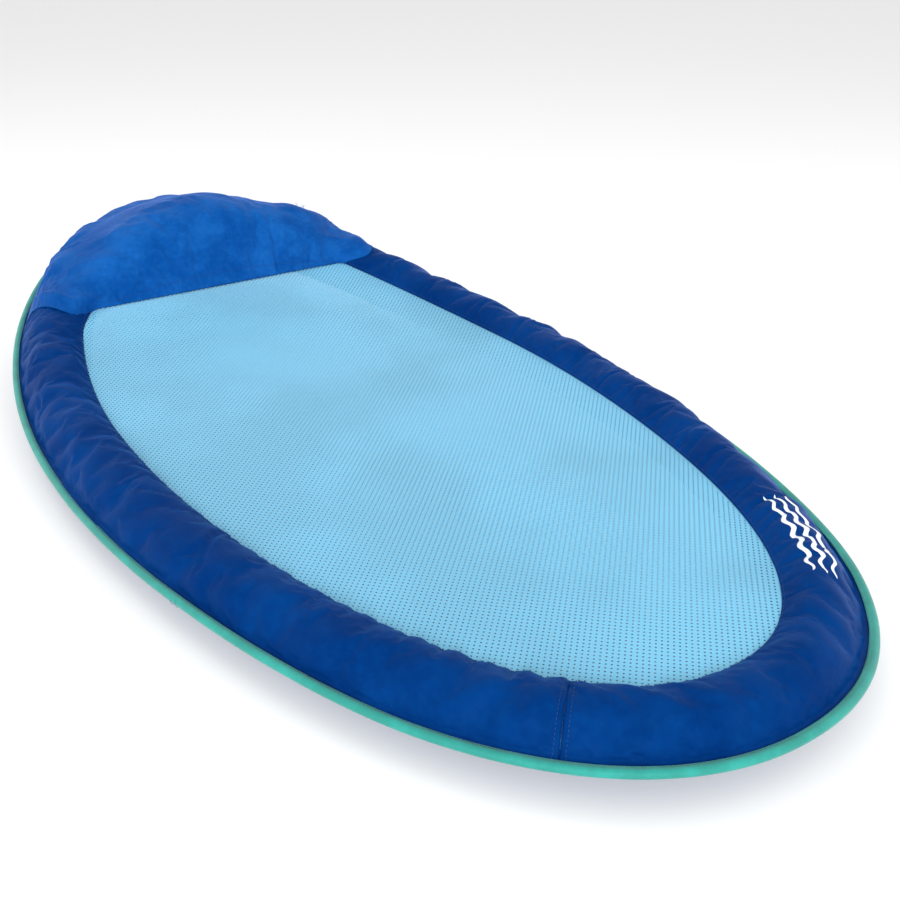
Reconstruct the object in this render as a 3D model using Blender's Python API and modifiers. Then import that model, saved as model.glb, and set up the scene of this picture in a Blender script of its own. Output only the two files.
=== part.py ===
"""Inflatable pool float: an air-filled oval ring around a mesh seat, with a spring-wire hoop in
the outer edge and an air-filled headrest.

Metres, +Z up. The origin is on the floor under the middle of the float. +Y points to the head,
+X to the right-hand side, seen from above with the head end up.
"""

import math

import bmesh
import bpy
from mathutils import Matrix, Vector

# Outline, seen from above. The outline is the outer edge of the sleeve around the hoop.
LENGTH = 1.68
WIDTH = 0.889
ROUNDNESS = 2.133  # exponent of the superellipse: 2 is an ellipse, more is squarer
OVAL = -0.134  # narrows the shoulders of the outline
EGG = 0.010  # makes the foot narrower than the head
SQUARE = 0.0165  # fills out the four corners

# Air tube, as its cover stands when it is full. u runs from -1 at the foot to 1 at the head.
TUBE_WIDTH = 0.1045
TUBE_WIDTH_HEAD = 0.0115
TUBE_HEIGHT = 0.092
TUBE_HEIGHT_HEAD = 0.020
EDGE_FLANGE = 0.015
EDGE_FLANGE_FOOT = 0.003
FLATTENING = 0.0016  # height that the floor presses out of the tube
HEAD_LIFT = 0.100
FOOT_LIFT = 0.011
FLAT_LENGTH_SHARE = 0.13  # the middle part of the ring that lies flat on the floor
MESH_ANGLE = math.radians(144.3)  # where the mesh meets the tube, from its outer tip over the top

# Fabric and sheet thicknesses
COVER_WALL = 0.0012
MESH_WALL = 0.0016
SLEEVE_WALL = 0.0012
FIT_GAP = 0.0003
BLADDER_INSET = 0.004
MESH_TUCK = 0.0025

# Hoop
WIRE_RADIUS = 0.002
SLEEVE_RADIUS = 0.005
HOOP_INSET = 0.0055
FERRULE_LENGTH = 0.030
FERRULE_WALL = 0.0008

# Stations round the ring, in degrees of the outline's own angle: 0 is the right side, 90 the head
STATION_STEP = 7.5
PANEL_SEAMS = {"head": (45.0, 135.0), "left": (135.0, 247.5), "foot": (247.5, 345.0), "right": (345.0, 405.0)}
HOOP_JOINT = 206.25
PANEL_GAP_DEG = 0.045

# Headrest
HEADREST_FRONT_Y = 0.497
HEADREST_HALF_FRONT = 0.229
HEADREST_CREST = 0.100  # how far the crest stands over the mesh and the ring
HEADREST_REACH = 0.80  # share of the way from front edge to sleeve where the pillow runs out
HEADREST_STEPS = 12
HEADREST_CROWDING = 1.5  # more than 1 crowds the steps towards the sleeve, where the tube is steep
HEADREST_BLADDER_STEPS = 7
HEADREST_CLEARANCE = 0.0035
HEADREST_BACK_INSET = 0.012  # from the tube's outer tip to the pillow's back seam
BLADDER_OVER_COVER = 0.0095
BLADDER_UNDER_COVER = 0.0095
HEADREST_SEAM_RISE = 0.0078  # between the outer faces of the two covers along their seam

# Ring valve, built with +Z out of the float and turned to point down
VALVE_ANGLE = 90.0
VALVE_FLANGE_RADIUS = 0.0215
VALVE_NECK_RADIUS = 0.013
VALVE_BORE_RADIUS = 0.0105
VALVE_SEAT_RADIUS = 0.007
VALVE_NECK_HEIGHT = 0.008
VALVE_POCKET_DEPTH = 0.026
VALVE_SINK = 0.0045
CAP_RADIUS = 0.017

# Headrest valve
HEADREST_VALVE_STATION = 2
HEADREST_VALVE_STEP = 6
STEM_RADIUS = 0.008
STEM_BORE = 0.005
STEM_REACH = 0.0035  # pressed in; it pulls out for filling
STEM_DEPTH = 0.014
COLLAR_RADIUS = 0.012
COLLAR_SINK = 0.0060

COLOURS = {
    "cover": (0.002, 0.052, 0.270, 1.0, 0.55, 0.0),
    "headrest": (0.008, 0.110, 0.480, 1.0, 0.55, 0.0),
    "sleeve": (0.033, 0.380, 0.330, 1.0, 0.60, 0.0),
    "mesh": (0.230, 0.610, 0.840, 1.0, 0.60, 0.0),
    "bladder": (0.620, 0.700, 0.760, 1.0, 0.30, 0.0),
    "steel": (0.560, 0.570, 0.590, 1.0, 0.35, 1.0),
    "ferrule": (0.720, 0.500, 0.230, 1.0, 0.35, 1.0),
    "valve": (0.780, 0.800, 0.820, 1.0, 0.35, 0.0),
    "rubber": (0.050, 0.055, 0.060, 1.0, 0.70, 0.0),
}


def clear_scene():
    for item in list(bpy.data.objects):
        bpy.data.objects.remove(item)


def collection(name):
    made = bpy.data.collections.new(name)
    bpy.context.scene.collection.children.link(made)
    return made


def material(name):
    made = bpy.data.materials.get(name)
    if made:
        return made
    red, green, blue, alpha, roughness, metallic = COLOURS[name]
    made = bpy.data.materials.new(name)
    made.use_nodes = True
    shader = made.node_tree.nodes["Principled BSDF"]
    shader.inputs["Base Color"].default_value = (red, green, blue, alpha)
    shader.inputs["Roughness"].default_value = roughness
    shader.inputs["Metallic"].default_value = metallic
    made.diffuse_color = (red, green, blue, alpha)
    return made


def add_object(name, data, finish, parent=None):
    made = bpy.data.objects.new(name, data)
    FLOAT.objects.link(made)
    data.materials.append(material(finish))
    made.parent = parent
    return made


def add_empty(name, location, rotation=None):
    made = bpy.data.objects.new(name, None)
    FLOAT.objects.link(made)
    made.location = location
    if rotation:
        made.rotation_euler = rotation
    return made


# ---------------------------------------------------------------- outline and tube sections


def raw_outline(angle):
    cosine, sine = math.cos(angle), math.sin(angle)
    power = 2 / ROUNDNESS
    swell = 1 + OVAL * math.cos(2 * angle) + EGG * math.sin(3 * angle) + SQUARE * math.cos(4 * angle)
    across = math.copysign(abs(cosine) ** power, cosine) * WIDTH * swell
    along = math.copysign(abs(sine) ** power, sine) * LENGTH * swell
    return across, along


def outline_limits():
    points = [raw_outline(math.radians(i / 2)) for i in range(720)]
    across = max(p[0] for p in points)
    head = max(p[1] for p in points)
    foot = min(p[1] for p in points)
    return across, head, foot


OUTLINE_ACROSS, OUTLINE_HEAD, OUTLINE_FOOT = outline_limits()


def outline(angle):
    """The outer edge of the float at an outline angle in degrees, on the floor plane."""
    across, along = raw_outline(math.radians(angle))
    x = across / OUTLINE_ACROSS * WIDTH / 2
    y = (along - (OUTLINE_HEAD + OUTLINE_FOOT) / 2) / (OUTLINE_HEAD - OUTLINE_FOOT) * LENGTH
    return Vector((x, y, 0))


def outward(angle):
    step = outline(angle + 0.5) - outline(angle - 0.5)
    return Vector((step.y, -step.x, 0)).normalized()


def along_share(angle):
    return 2 * outline(angle).y / LENGTH


def lift(angle):
    """Height of the tube's underside: the head and the foot curve up off the floor."""
    share = along_share(angle)
    rise = max(0.0, (abs(share) - FLAT_LENGTH_SHARE) / (1 - FLAT_LENGTH_SHARE)) ** 2
    return rise * (HEAD_LIFT if share > 0 else FOOT_LIFT)


def tube_width(angle):
    return TUBE_WIDTH + TUBE_WIDTH_HEAD * along_share(angle)


def tube_height(angle):
    return TUBE_HEIGHT + TUBE_HEIGHT_HEAD * along_share(angle)


def flange(angle):
    return EDGE_FLANGE - EDGE_FLANGE_FOOT * along_share(angle)


def flange_height(angle):
    return tube_height(angle) / 2 - FLATTENING


def place(angle, out, height):
    """A point at a distance outside the outline and a height over the tube's underside."""
    spot = outline(angle) + outward(angle) * out
    return Vector((spot.x, spot.y, lift(angle) + height))


def tube_point(angle, turn, inset=0.0):
    """(out, height) on the lens-shaped section. turn is 0 at the outer tip and 90 degrees on top."""
    half_width = tube_width(angle) / 2
    half_height = tube_height(angle) / 2
    out = -flange(angle) - half_width + (half_width - inset) * math.cos(turn)
    rise = math.copysign(abs(math.sin(turn)) ** 1.5, math.sin(turn))
    height = half_height + (half_height - inset) * rise - FLATTENING
    return out, max(height, inset if inset else 0.0)


def panel_angles(first, last, gap):
    """Outline angles from one seam to the next, with both ends drawn back by a seam gap."""
    count = round((last - first) / STATION_STEP)
    angles = [first + (last - first) * i / count for i in range(count + 1)]
    return [first + gap, *angles[1:-1], last - gap] if gap else angles


def ring_angles():
    return panel_angles(0.0, 360.0, 0.0)[:-1]


# ---------------------------------------------------------------- mesh helpers


def mesh_from_rows(name, rows, closed_rows, closed_sections, capped=False):
    """A lofted surface through rows of points, one row for each station."""
    mesh = bpy.data.meshes.new(name)
    build = bmesh.new()
    grid = [[build.verts.new(p) for p in row] for row in rows]
    row_count, point_count = len(grid), len(grid[0])
    for i in range(row_count if closed_rows else row_count - 1):
        here, there = grid[i], grid[(i + 1) % row_count]
        for j in range(point_count if closed_sections else point_count - 1):
            k = (j + 1) % point_count
            build.faces.new((here[j], there[j], there[k], here[k]))
    if capped:
        build.faces.new(grid[0])
        build.faces.new(list(reversed(grid[-1])))
    bmesh.ops.recalc_face_normals(build, faces=build.faces)
    if closed_sections and build.calc_volume(signed=True) < 0:
        bmesh.ops.reverse_faces(build, faces=build.faces)
    build.to_mesh(mesh)
    build.free()
    mesh.shade_smooth()
    mesh.set_sharp_from_angle(angle=math.radians(40))
    return mesh


def solidify(item, thickness, offset):
    wall = item.modifiers.new("Wall", "SOLIDIFY")
    wall.thickness = thickness
    wall.offset = offset
    wall.use_even_offset = True
    return wall


def cut(item, cutter):
    knife = item.modifiers.new("Cut " + cutter.name, "BOOLEAN")
    knife.operation = "DIFFERENCE"
    knife.solver = "EXACT"
    knife.object = cutter


def join(item, other):
    weld = item.modifiers.new("Join " + other.name, "BOOLEAN")
    weld.operation = "UNION"
    weld.solver = "EXACT"
    weld.object = other


def hide_as_tool(item):
    for holder in list(item.users_collection):
        holder.objects.unlink(item)
    CUTTERS.objects.link(item)
    item.hide_render = True
    item.display_type = "WIRE"
    return item


def cylinder_tool(name, radius, low, high, parent=None, sides=24):
    """A plain round tool standing on its parent's Z axis."""
    mesh = bpy.data.meshes.new(name)
    build = bmesh.new()
    centre = Matrix.Translation((0, 0, (low + high) / 2))
    bmesh.ops.create_cone(
        build, cap_ends=True, segments=sides, radius1=radius, radius2=radius, depth=high - low, matrix=centre
    )
    build.to_mesh(mesh)
    build.free()
    tool = bpy.data.objects.new(name, mesh)
    CUTTERS.objects.link(tool)
    tool.parent = parent
    tool.hide_render = True
    tool.display_type = "WIRE"
    return tool


def box_mesh(name, low, high):
    mesh = bpy.data.meshes.new(name)
    build = bmesh.new()
    size = Vector(high) - Vector(low)
    middle = (Vector(high) + Vector(low)) / 2
    bmesh.ops.create_cube(build, size=1, matrix=Matrix.Translation(middle) @ Matrix.Diagonal((*size, 1)))
    build.to_mesh(mesh)
    build.free()
    return mesh


def turned(name, profile, finish, parent, steps=24, ring=True):
    """A turned solid. The profile is (radius, height) pairs, down its outer side first."""
    mesh = bpy.data.meshes.new(name)
    points = [(radius, 0, height) for radius, height in profile]
    edges = [(i, i + 1) for i in range(len(points) - 1)]
    if ring:
        edges.append((len(points) - 1, 0))
    mesh.from_pydata(points, edges, [])
    item = add_object(name, mesh, finish, parent)
    spin = item.modifiers.new("Turn", "SCREW")
    spin.axis = "Z"
    spin.angle = math.tau
    spin.steps = steps
    spin.render_steps = steps
    spin.use_merge_vertices = True
    spin.merge_threshold = 0.00001
    spin.use_smooth_shade = True
    return item


# ---------------------------------------------------------------- hoop and edge sleeve


def hoop_path():
    """The wire's centre line from one end to the other. Both ends meet in the middle of a chord."""
    first = math.floor(HOOP_JOINT / STATION_STEP)
    count = round(360 / STATION_STEP)
    stations = [((first + 1 + i) % count) * STATION_STEP for i in range(count)]
    points = [place(a, -HOOP_INSET, flange_height(a)) for a in stations]
    joint = (points[0] + points[-1]) / 2
    run = (points[0] - points[-1]).normalized()
    half_gap = FIT_GAP * 2
    return [joint + run * half_gap, *points, joint - run * half_gap], joint, run


def make_hoop():
    points, joint, run = hoop_path()
    curve = bpy.data.curves.new("spring_hoop", "CURVE")
    curve.dimensions = "3D"
    curve.bevel_depth = WIRE_RADIUS
    curve.bevel_resolution = 2
    curve.use_fill_caps = True
    line = curve.splines.new("POLY")
    line.points.add(len(points) - 1)
    for spot, point in zip(line.points, points):
        spot.co = (*point, 1)
    add_object("spring_hoop", curve, "steel")

    holder = add_empty("ferrule_axis", joint)
    holder.rotation_mode = "QUATERNION"
    holder.rotation_quaternion = run.to_track_quat("Z", "Y")
    bore = WIRE_RADIUS + FIT_GAP
    outer = bore + FERRULE_WALL
    half = FERRULE_LENGTH / 2
    profile = [(outer, half), (outer, -half), (bore, -half), (bore, half)]
    turned("hoop_ferrule", profile, "ferrule", holder, steps=16)


def sleeve_section(angle):
    """A round pocket for the wire with two lips that hold the edges of the cover."""
    middle = flange_height(angle)
    lip_end = -flange(angle) + 0.0015
    lip_inner = COVER_WALL + 2 * FIT_GAP
    lip_outer = lip_inner + SLEEVE_WALL
    pocket = SLEEVE_RADIUS - SLEEVE_WALL
    turns = [math.radians(a) for a in (135, 90, 45, 0, -45, -90, -135)]
    outer = [(-HOOP_INSET + SLEEVE_RADIUS * math.cos(a), SLEEVE_RADIUS * math.sin(a)) for a in turns]
    inner = [(-HOOP_INSET + pocket * math.cos(a), pocket * math.sin(a)) for a in reversed(turns[1:-1])]
    root_out = -HOOP_INSET - pocket * 0.80
    section = [(lip_end, lip_outer), *outer, (lip_end, -lip_outer), (lip_end, -lip_inner)]
    section += [(root_out, -lip_inner), *inner, (root_out, lip_inner), (lip_end, lip_inner)]
    return [place(angle, out, middle + height) for out, height in section]


def make_sleeve():
    rows = [sleeve_section(a) for a in ring_angles()]
    add_object("edge_sleeve", mesh_from_rows("edge_sleeve", rows, True, True), "sleeve")


# ---------------------------------------------------------------- ring covers, bladder and mesh


def top_cover_row(angle):
    seam = flange_height(angle) + COVER_WALL + FIT_GAP / 2
    edge = [(-HOOP_INSET - 0.0035, seam), (-flange(angle) + 0.0005, seam)]
    turns = [math.radians(a) for a in (25, 45, 68, 90, 112, 130)]
    body = [tube_point(angle, turn) for turn in [*turns, MESH_ANGLE - math.radians(3.5)]]
    return [place(angle, out, height) for out, height in edge + body]


def bottom_cover_row(angle):
    seam = flange_height(angle) - COVER_WALL - FIT_GAP / 2
    edge = [(-HOOP_INSET - 0.0035, seam), (-flange(angle) + 0.0005, seam)]
    turns = [math.radians(-a) for a in (25, 50, 78, 102, 130, 155, 180, 198)]
    body = [tube_point(angle, turn) for turn in [*turns, MESH_ANGLE - math.tau + math.radians(5.5)]]
    return [place(angle, out, height) for out, height in edge + body]


def make_cover(name, row, seams, inward):
    rows = [row(a) for a in panel_angles(*seams, PANEL_GAP_DEG)]
    mesh = mesh_from_rows(name, rows, False, False)
    item = add_object(name, mesh, "cover")
    solidify(item, COVER_WALL, inward)
    return item


def face_the_same_way(mesh, up):
    """Turns a nearly flat or arched open surface so that its first wide face looks up or down."""
    total = sum((f.normal * f.area for f in mesh.polygons), Vector())
    if (total.z > 0) != up:
        mesh.flip_normals()


def make_ring_covers():
    made = {}
    for side, seams in PANEL_SEAMS.items():
        top = make_cover(f"cover_top_{side}", top_cover_row, seams, -1)
        face_the_same_way(top.data, True)
        bottom = make_cover(f"cover_bottom_{side}", bottom_cover_row, seams, -1)
        face_the_same_way(bottom.data, False)
        made[side] = (top, bottom)
    return made


def bladder_row(angle):
    turns = [math.radians(a) for a in (0, 25, 45, 68, 90, 112, 135, 155, 180, 205, 230, 258, 282, 310, 335)]
    return [place(angle, *tube_point(angle, turn, BLADDER_INSET)) for turn in turns]


def make_ring_bladder():
    rows = [bladder_row(a) for a in ring_angles()]
    return add_object("ring_bladder", mesh_from_rows("ring_bladder", rows, True, True), "bladder")


def mesh_edge(angle):
    out, height = tube_point(angle, MESH_ANGLE)
    return place(angle, out + MESH_TUCK, height)


def make_mesh_panel():
    """The seat mesh, pulled straight across from side to side between matching stations."""
    count = round(180 / STATION_STEP)
    rows = []
    for i in range(1, count):
        angle = 90 - i * STATION_STEP
        right, left = mesh_edge(angle), mesh_edge(180 - angle)
        rows.append([right.lerp(left, share / 4) for share in range(5)])
    mesh = bpy.data.meshes.new("mesh_panel")
    build = bmesh.new()
    grid = [[build.verts.new(p) for p in row] for row in rows]
    for here, there in zip(grid, grid[1:]):
        for j in range(4):
            build.faces.new((here[j], there[j], there[j + 1], here[j + 1]))
    for end, row in ((90, grid[0]), (270, grid[-1])):
        tip = build.verts.new(mesh_edge(end))
        for j in range(4):
            build.faces.new((tip, row[j], row[j + 1]))
    bmesh.ops.recalc_face_normals(build, faces=build.faces)
    build.to_mesh(mesh)
    build.free()
    face_the_same_way(mesh, True)
    item = add_object("mesh_panel", mesh, "mesh")
    solidify(item, MESH_WALL, 0)


# ---------------------------------------------------------------- headrest


def ring_top(spot):
    """Height of the ring's top or of the mesh at a place in the head half, seen from above."""
    best = None
    for i in range(0, 361):
        angle = i / 2
        gap = (outline(angle) - Vector((spot.x, spot.y, 0))).length
        if best is None or gap < best[0]:
            best = (gap, angle)
    gap, angle = best
    half_width = tube_width(angle) / 2
    half_height = tube_height(angle) / 2
    across = (flange(angle) + half_width - gap) / half_width
    mesh_height = tube_point(angle, MESH_ANGLE)[1]
    if across > 1:
        return lift(angle) + flange_height(angle)
    if across < math.cos(MESH_ANGLE):
        return mesh_plane(spot.y)
    height = half_height * (1 + (1 - across * across) ** 0.75) - FLATTENING
    return lift(angle) + max(height, mesh_height if across < 0 else 0)


def mesh_plane(y):
    """Height of the seat mesh at a place along the float, between the two nearest stations."""
    steps = [90 - i * STATION_STEP for i in range(13)]
    edges = [mesh_edge(a) for a in steps]
    for high, low in zip(edges, edges[1:]):
        if low.y <= y <= high.y:
            share = (y - low.y) / (high.y - low.y)
            return low.z + (high.z - low.z) * share
    return edges[0].z


def headrest_front(share):
    """A point of the straight front edge. share runs from 0 on the right to 1 on the left."""
    return Vector((HEADREST_HALF_FRONT * (1 - 2 * share), HEADREST_FRONT_Y, 0))


def headrest_share(step):
    return 1 - (1 - step / HEADREST_STEPS) ** HEADREST_CROWDING


def headrest_plan():
    """Points seen from above, from the front edge to the sleeve, one line for each head station."""
    angles = panel_angles(*PANEL_SEAMS["head"], 0.0)
    plan = []
    for i, angle in enumerate(angles):
        front = headrest_front(i / (len(angles) - 1))
        back = outline(angle) - outward(angle) * (flange(angle) + HEADREST_BACK_INSET)
        plan.append([front.lerp(back, headrest_share(j)) for j in range(HEADREST_STEPS + 1)])
    return plan


def headrest_grid():
    """The pillow's underside, just over the highest part of the ring or mesh near each point."""
    plan = headrest_plan()
    grid = []
    for i, line in enumerate(plan):
        row = []
        for j, point in enumerate(line):
            near = [line[k] for k in (j - 1, j + 1) if 0 <= k < len(line)]
            near += [plan[k][j] for k in (i - 1, i + 1) if 0 <= k < len(plan)]
            height = max(ring_top((point + p) / 2) for p in [point, *near])
            row.append(Vector((point.x, point.y, height + HEADREST_CLEARANCE)))
        grid.append(row)
    return grid


def headrest_bulge(side_share, front_share):
    """How far the pillow stands over its own underside, for the full pillow."""
    across = max(0.0, 1 - (2 * side_share - 1) ** 2)
    forward = math.sin(math.pi * min(1.0, front_share / HEADREST_REACH) ** 0.8)
    return HEADREST_CREST * across**0.85 * max(0.0, forward)


def headrest_rows(raise_by, bulge_share):
    grid = headrest_grid()
    last = len(grid) - 1
    rows = []
    for i, line in enumerate(grid):
        row = []
        for j, point in enumerate(line):
            bulge = headrest_bulge(i / last, headrest_share(j)) * bulge_share
            row.append(point + Vector((0, 0, raise_by + bulge)))
        rows.append(row)
    return rows


def make_headrest_covers():
    lower = mesh_from_rows("headrest_cover_bottom", headrest_rows(0.0, 0.0), False, False)
    face_the_same_way(lower, True)
    bottom = add_object("headrest_cover_bottom", lower, "headrest")
    solidify(bottom, COVER_WALL, 1)
    upper = mesh_from_rows("headrest_cover_top", headrest_rows(HEADREST_SEAM_RISE, 1.0), False, False)
    face_the_same_way(upper, True)
    top = add_object("headrest_cover_top", upper, "headrest")
    solidify(top, COVER_WALL, -1)
    return top, bottom


def make_headrest_bladder():
    """A closed pillow between the two covers, drawn back from their seam all round."""
    low = headrest_rows(BLADDER_OVER_COVER, 0.0)
    high = headrest_rows(HEADREST_SEAM_RISE - BLADDER_UNDER_COVER, 1.0)
    first, last = 1, len(low) - 2
    rows = []
    for i in range(first, last + 1):
        under, over = low[i][1:HEADREST_BLADDER_STEPS], high[i][1:HEADREST_BLADDER_STEPS]
        rows.append([*over, *reversed(under)])
    return add_object("headrest_bladder", mesh_from_rows("headrest_bladder", rows, False, True, True), "bladder")


# ---------------------------------------------------------------- ring valve


def make_ring_valve(covers, bladder):
    out, _ = tube_point(VALVE_ANGLE, math.radians(-90))
    spot = place(VALVE_ANGLE, out, 0.0)
    axis = add_empty("ring_valve_axis", spot, (math.pi, 0, 0))
    pocket = cylinder_tool("ring_valve_pocket", VALVE_FLANGE_RADIUS + 0.0008, -VALVE_POCKET_DEPTH, 0.02, axis, 32)
    cut(covers["head"][1], pocket)
    cut(bladder, pocket)

    flange_low, flange_high = -VALVE_SINK, -VALVE_SINK + 0.0018
    neck_top = flange_high + VALVE_NECK_HEIGHT
    seat_top = flange_low + 0.0015
    base = [
        (VALVE_NECK_RADIUS, neck_top),
        (VALVE_NECK_RADIUS, flange_high),
        (VALVE_FLANGE_RADIUS, flange_high),
        (VALVE_FLANGE_RADIUS, flange_low),
        (VALVE_SEAT_RADIUS, flange_low),
        (VALVE_SEAT_RADIUS, seat_top),
        (VALVE_BORE_RADIUS, seat_top),
        (VALVE_BORE_RADIUS, neck_top),
    ]
    turned("valve_base", base, "valve", axis, steps=32)
    make_valve_flap(axis, flange_low)
    make_valve_cap(axis, flange_high, neck_top)


def make_valve_flap(axis, seat):
    """One-way flap on the air side of the seat, with its hinge tab on one edge."""
    top = seat - FIT_GAP
    radius = VALVE_SEAT_RADIUS + 0.002
    hinge = add_empty("valve_flap_hinge", (-radius - 0.001, 0, top - 0.0004))
    hinge.parent = axis
    profile = [(0, 0.0004), (radius, 0.0004), (radius, -0.0004), (0, -0.0004)]
    disc = turned("valve_flap", profile, "rubber", hinge, steps=20, ring=False)
    disc.location = (radius + 0.001, 0, 0)
    tab_mesh = box_mesh("flap_tab", (-radius - 0.001, -0.003, -0.00035), (-radius + 0.002, 0.003, 0.00035))
    tab = bpy.data.objects.new("flap_tab", tab_mesh)
    CUTTERS.objects.link(tab)
    tab.parent = hinge
    tab.location = disc.location
    hide_as_tool(tab)
    join(disc, tab)


def make_valve_cap(axis, flange_high, neck_top):
    seal_radius = 0.0010
    seal_height = neck_top + FIT_GAP + seal_radius
    middle = (VALVE_NECK_RADIUS + VALVE_BORE_RADIUS) / 2
    count = 20
    sides = 6
    rows = []
    for i in range(count):
        turn = math.tau * i / count
        row = []
        for j in range(sides):
            tilt = math.tau * j / sides
            reach = middle + seal_radius * math.cos(tilt)
            row.append((reach * math.cos(turn), reach * math.sin(turn), seal_height + seal_radius * math.sin(tilt)))
        rows.append(row)
    add_object("cap_gasket", mesh_from_rows("cap_gasket", rows, True, True), "rubber", axis)

    skirt_low = flange_high + 0.0030
    roof = seal_height + seal_radius + FIT_GAP
    top = roof + 0.0020
    inner = VALVE_NECK_RADIUS + 0.0006
    profile = [
        (0, top + 0.0030),
        (0.0045, top + 0.0030),
        (0.0045, top + 0.0020),
        (0.0030, top + 0.0020),
        (0.0030, top),
        (CAP_RADIUS - 0.0015, top),
        (CAP_RADIUS, top - 0.0015),
        (CAP_RADIUS, skirt_low),
        (inner, skirt_low),
        (inner, roof),
        (0, roof),
    ]
    turned("valve_cap", profile, "valve", axis, steps=24, ring=False)
    make_cap_tether(axis, flange_high, top)


def make_cap_tether(axis, flange_high, cap_top):
    """A loop round the neck, a strap up the side of the cap and an eye round the cap's button."""
    low, high = flange_high + FIT_GAP, flange_high + 0.0016
    inner = VALVE_NECK_RADIUS + 0.0005
    outer = inner + 0.0030
    loop = turned("cap_tether", [(outer, high), (outer, low), (inner, low), (inner, high)], "rubber", axis)
    eye_low, eye_high = cap_top + 0.0004, cap_top + 0.0016
    eye_profile = [(0.0062, eye_high), (0.0062, eye_low), (0.0035, eye_low), (0.0035, eye_high)]
    eye = turned("tether_eye", eye_profile, "rubber", axis, steps=16)
    side = CAP_RADIUS + 0.0014
    boxes = {
        "tether_foot": ((outer - 0.0012, -0.0024, low + 0.0001), (side + 0.0008, 0.0024, high - 0.0001)),
        "tether_strap": ((side - 0.0008, -0.0024, low + 0.0001), (side + 0.0008, 0.0024, eye_high - 0.0001)),
        "tether_arm": ((0.0050, -0.0024, eye_low + 0.0001), (side + 0.0008, 0.0024, eye_high - 0.0001)),
    }
    tools = [hide_as_tool(eye)]
    for name, (corner_low, corner_high) in boxes.items():
        tool = bpy.data.objects.new(name, box_mesh(name, corner_low, corner_high))
        CUTTERS.objects.link(tool)
        tool.parent = axis
        tools.append(hide_as_tool(tool))
    for tool in tools[1:] + tools[:1]:
        join(loop, tool)


# ---------------------------------------------------------------- headrest valve


def headrest_valve_frame():
    """Where the headrest valve stands on the back of the pillow, and which way it points."""
    rows = headrest_rows(HEADREST_SEAM_RISE, 1.0)
    column = HEADREST_VALVE_STEP
    row = HEADREST_VALVE_STATION
    spot = rows[row][column]
    side = rows[row + 1][column] - rows[row - 1][column]
    back = rows[row][column + 1] - rows[row][column - 1]
    normal = side.cross(back).normalized()
    if normal.z < 0:
        normal = -normal
    return spot, normal


def make_headrest_valve(cover, bladder):
    spot, normal = headrest_valve_frame()
    axis = add_empty("headrest_valve_axis", spot)
    axis.rotation_mode = "QUATERNION"
    axis.rotation_quaternion = normal.to_track_quat("Z", "Y")
    hole = cylinder_tool("headrest_valve_hole", STEM_RADIUS + 0.0020, -0.012, 0.010, axis)
    cut(cover, hole)
    pocket = cylinder_tool("headrest_valve_pocket", COLLAR_RADIUS + 0.0008, -0.030, 0.010, axis, 28)
    cut(bladder, pocket)

    collar_top, collar_low = -COLLAR_SINK, -COLLAR_SINK - 0.0016
    collar_bore = STEM_RADIUS + 0.0005
    collar = [
        (COLLAR_RADIUS, collar_top),
        (COLLAR_RADIUS, collar_low),
        (collar_bore, collar_low),
        (collar_bore, collar_top),
    ]
    turned("headrest_valve_collar", collar, "valve", axis)
    rim = STEM_RADIUS + 0.0014
    stem = [
        (rim, STEM_REACH),
        (rim, STEM_REACH - 0.0015),
        (STEM_RADIUS, STEM_REACH - 0.0015),
        (STEM_RADIUS, -STEM_DEPTH),
        (STEM_BORE, -STEM_DEPTH),
        (STEM_BORE, STEM_REACH),
    ]
    turned("headrest_valve_stem", stem, "valve", axis)
    make_headrest_valve_flap(axis)
    make_headrest_valve_plug(axis)


def make_headrest_valve_flap(axis):
    radius = STEM_BORE + 0.0012
    hinge = add_empty("headrest_flap_hinge", (-radius - 0.001, 0, -STEM_DEPTH - FIT_GAP - 0.0004))
    hinge.parent = axis
    profile = [(0, 0.0004), (radius, 0.0004), (radius, -0.0004), (0, -0.0004)]
    disc = turned("headrest_valve_flap", profile, "rubber", hinge, steps=16, ring=False)
    disc.location = (radius + 0.001, 0, 0)


def make_headrest_valve_plug(axis):
    shoulder = STEM_REACH + FIT_GAP
    head = shoulder + 0.0018
    body = STEM_BORE - 0.0004
    profile = [
        (0, head),
        (0.0078, head),
        (0.0078, shoulder),
        (body, shoulder),
        (body, -0.0035),
        (body - 0.0012, -0.0050),
        (0, -0.0050),
    ]
    turned("headrest_valve_plug", profile, "valve", axis, ring=False)
    reach = 0.0135
    low, high = STEM_REACH - 0.0012, head - 0.0002
    strap = add_object(
        "headrest_valve_strap",
        box_mesh("headrest_valve_strap", (reach - 0.0012, -0.0025, low), (reach, 0.0025, high)),
        "valve",
        axis,
    )
    arms = {
        "strap_low": ((STEM_RADIUS + 0.0014 + FIT_GAP, -0.0025, low), (reach - 0.0006, 0.0025, low + 0.0009)),
        "strap_high": ((0.0078 + FIT_GAP, -0.0025, high - 0.0009), (reach - 0.0006, 0.0025, high)),
    }
    for name, (corner_low, corner_high) in arms.items():
        tool = bpy.data.objects.new(name, box_mesh(name, corner_low, corner_high))
        CUTTERS.objects.link(tool)
        tool.parent = axis
        join(strap, hide_as_tool(tool))


def main():
    make_hoop()
    make_sleeve()
    covers = make_ring_covers()
    ring_bladder = make_ring_bladder()
    make_mesh_panel()
    headrest_top, _ = make_headrest_covers()
    headrest_bladder = make_headrest_bladder()
    make_ring_valve(covers, ring_bladder)
    make_headrest_valve(headrest_top, headrest_bladder)


clear_scene()
FLOAT = collection("pool_float")
CUTTERS = collection("cutters")
main()
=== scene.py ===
import functools
import math

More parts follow.
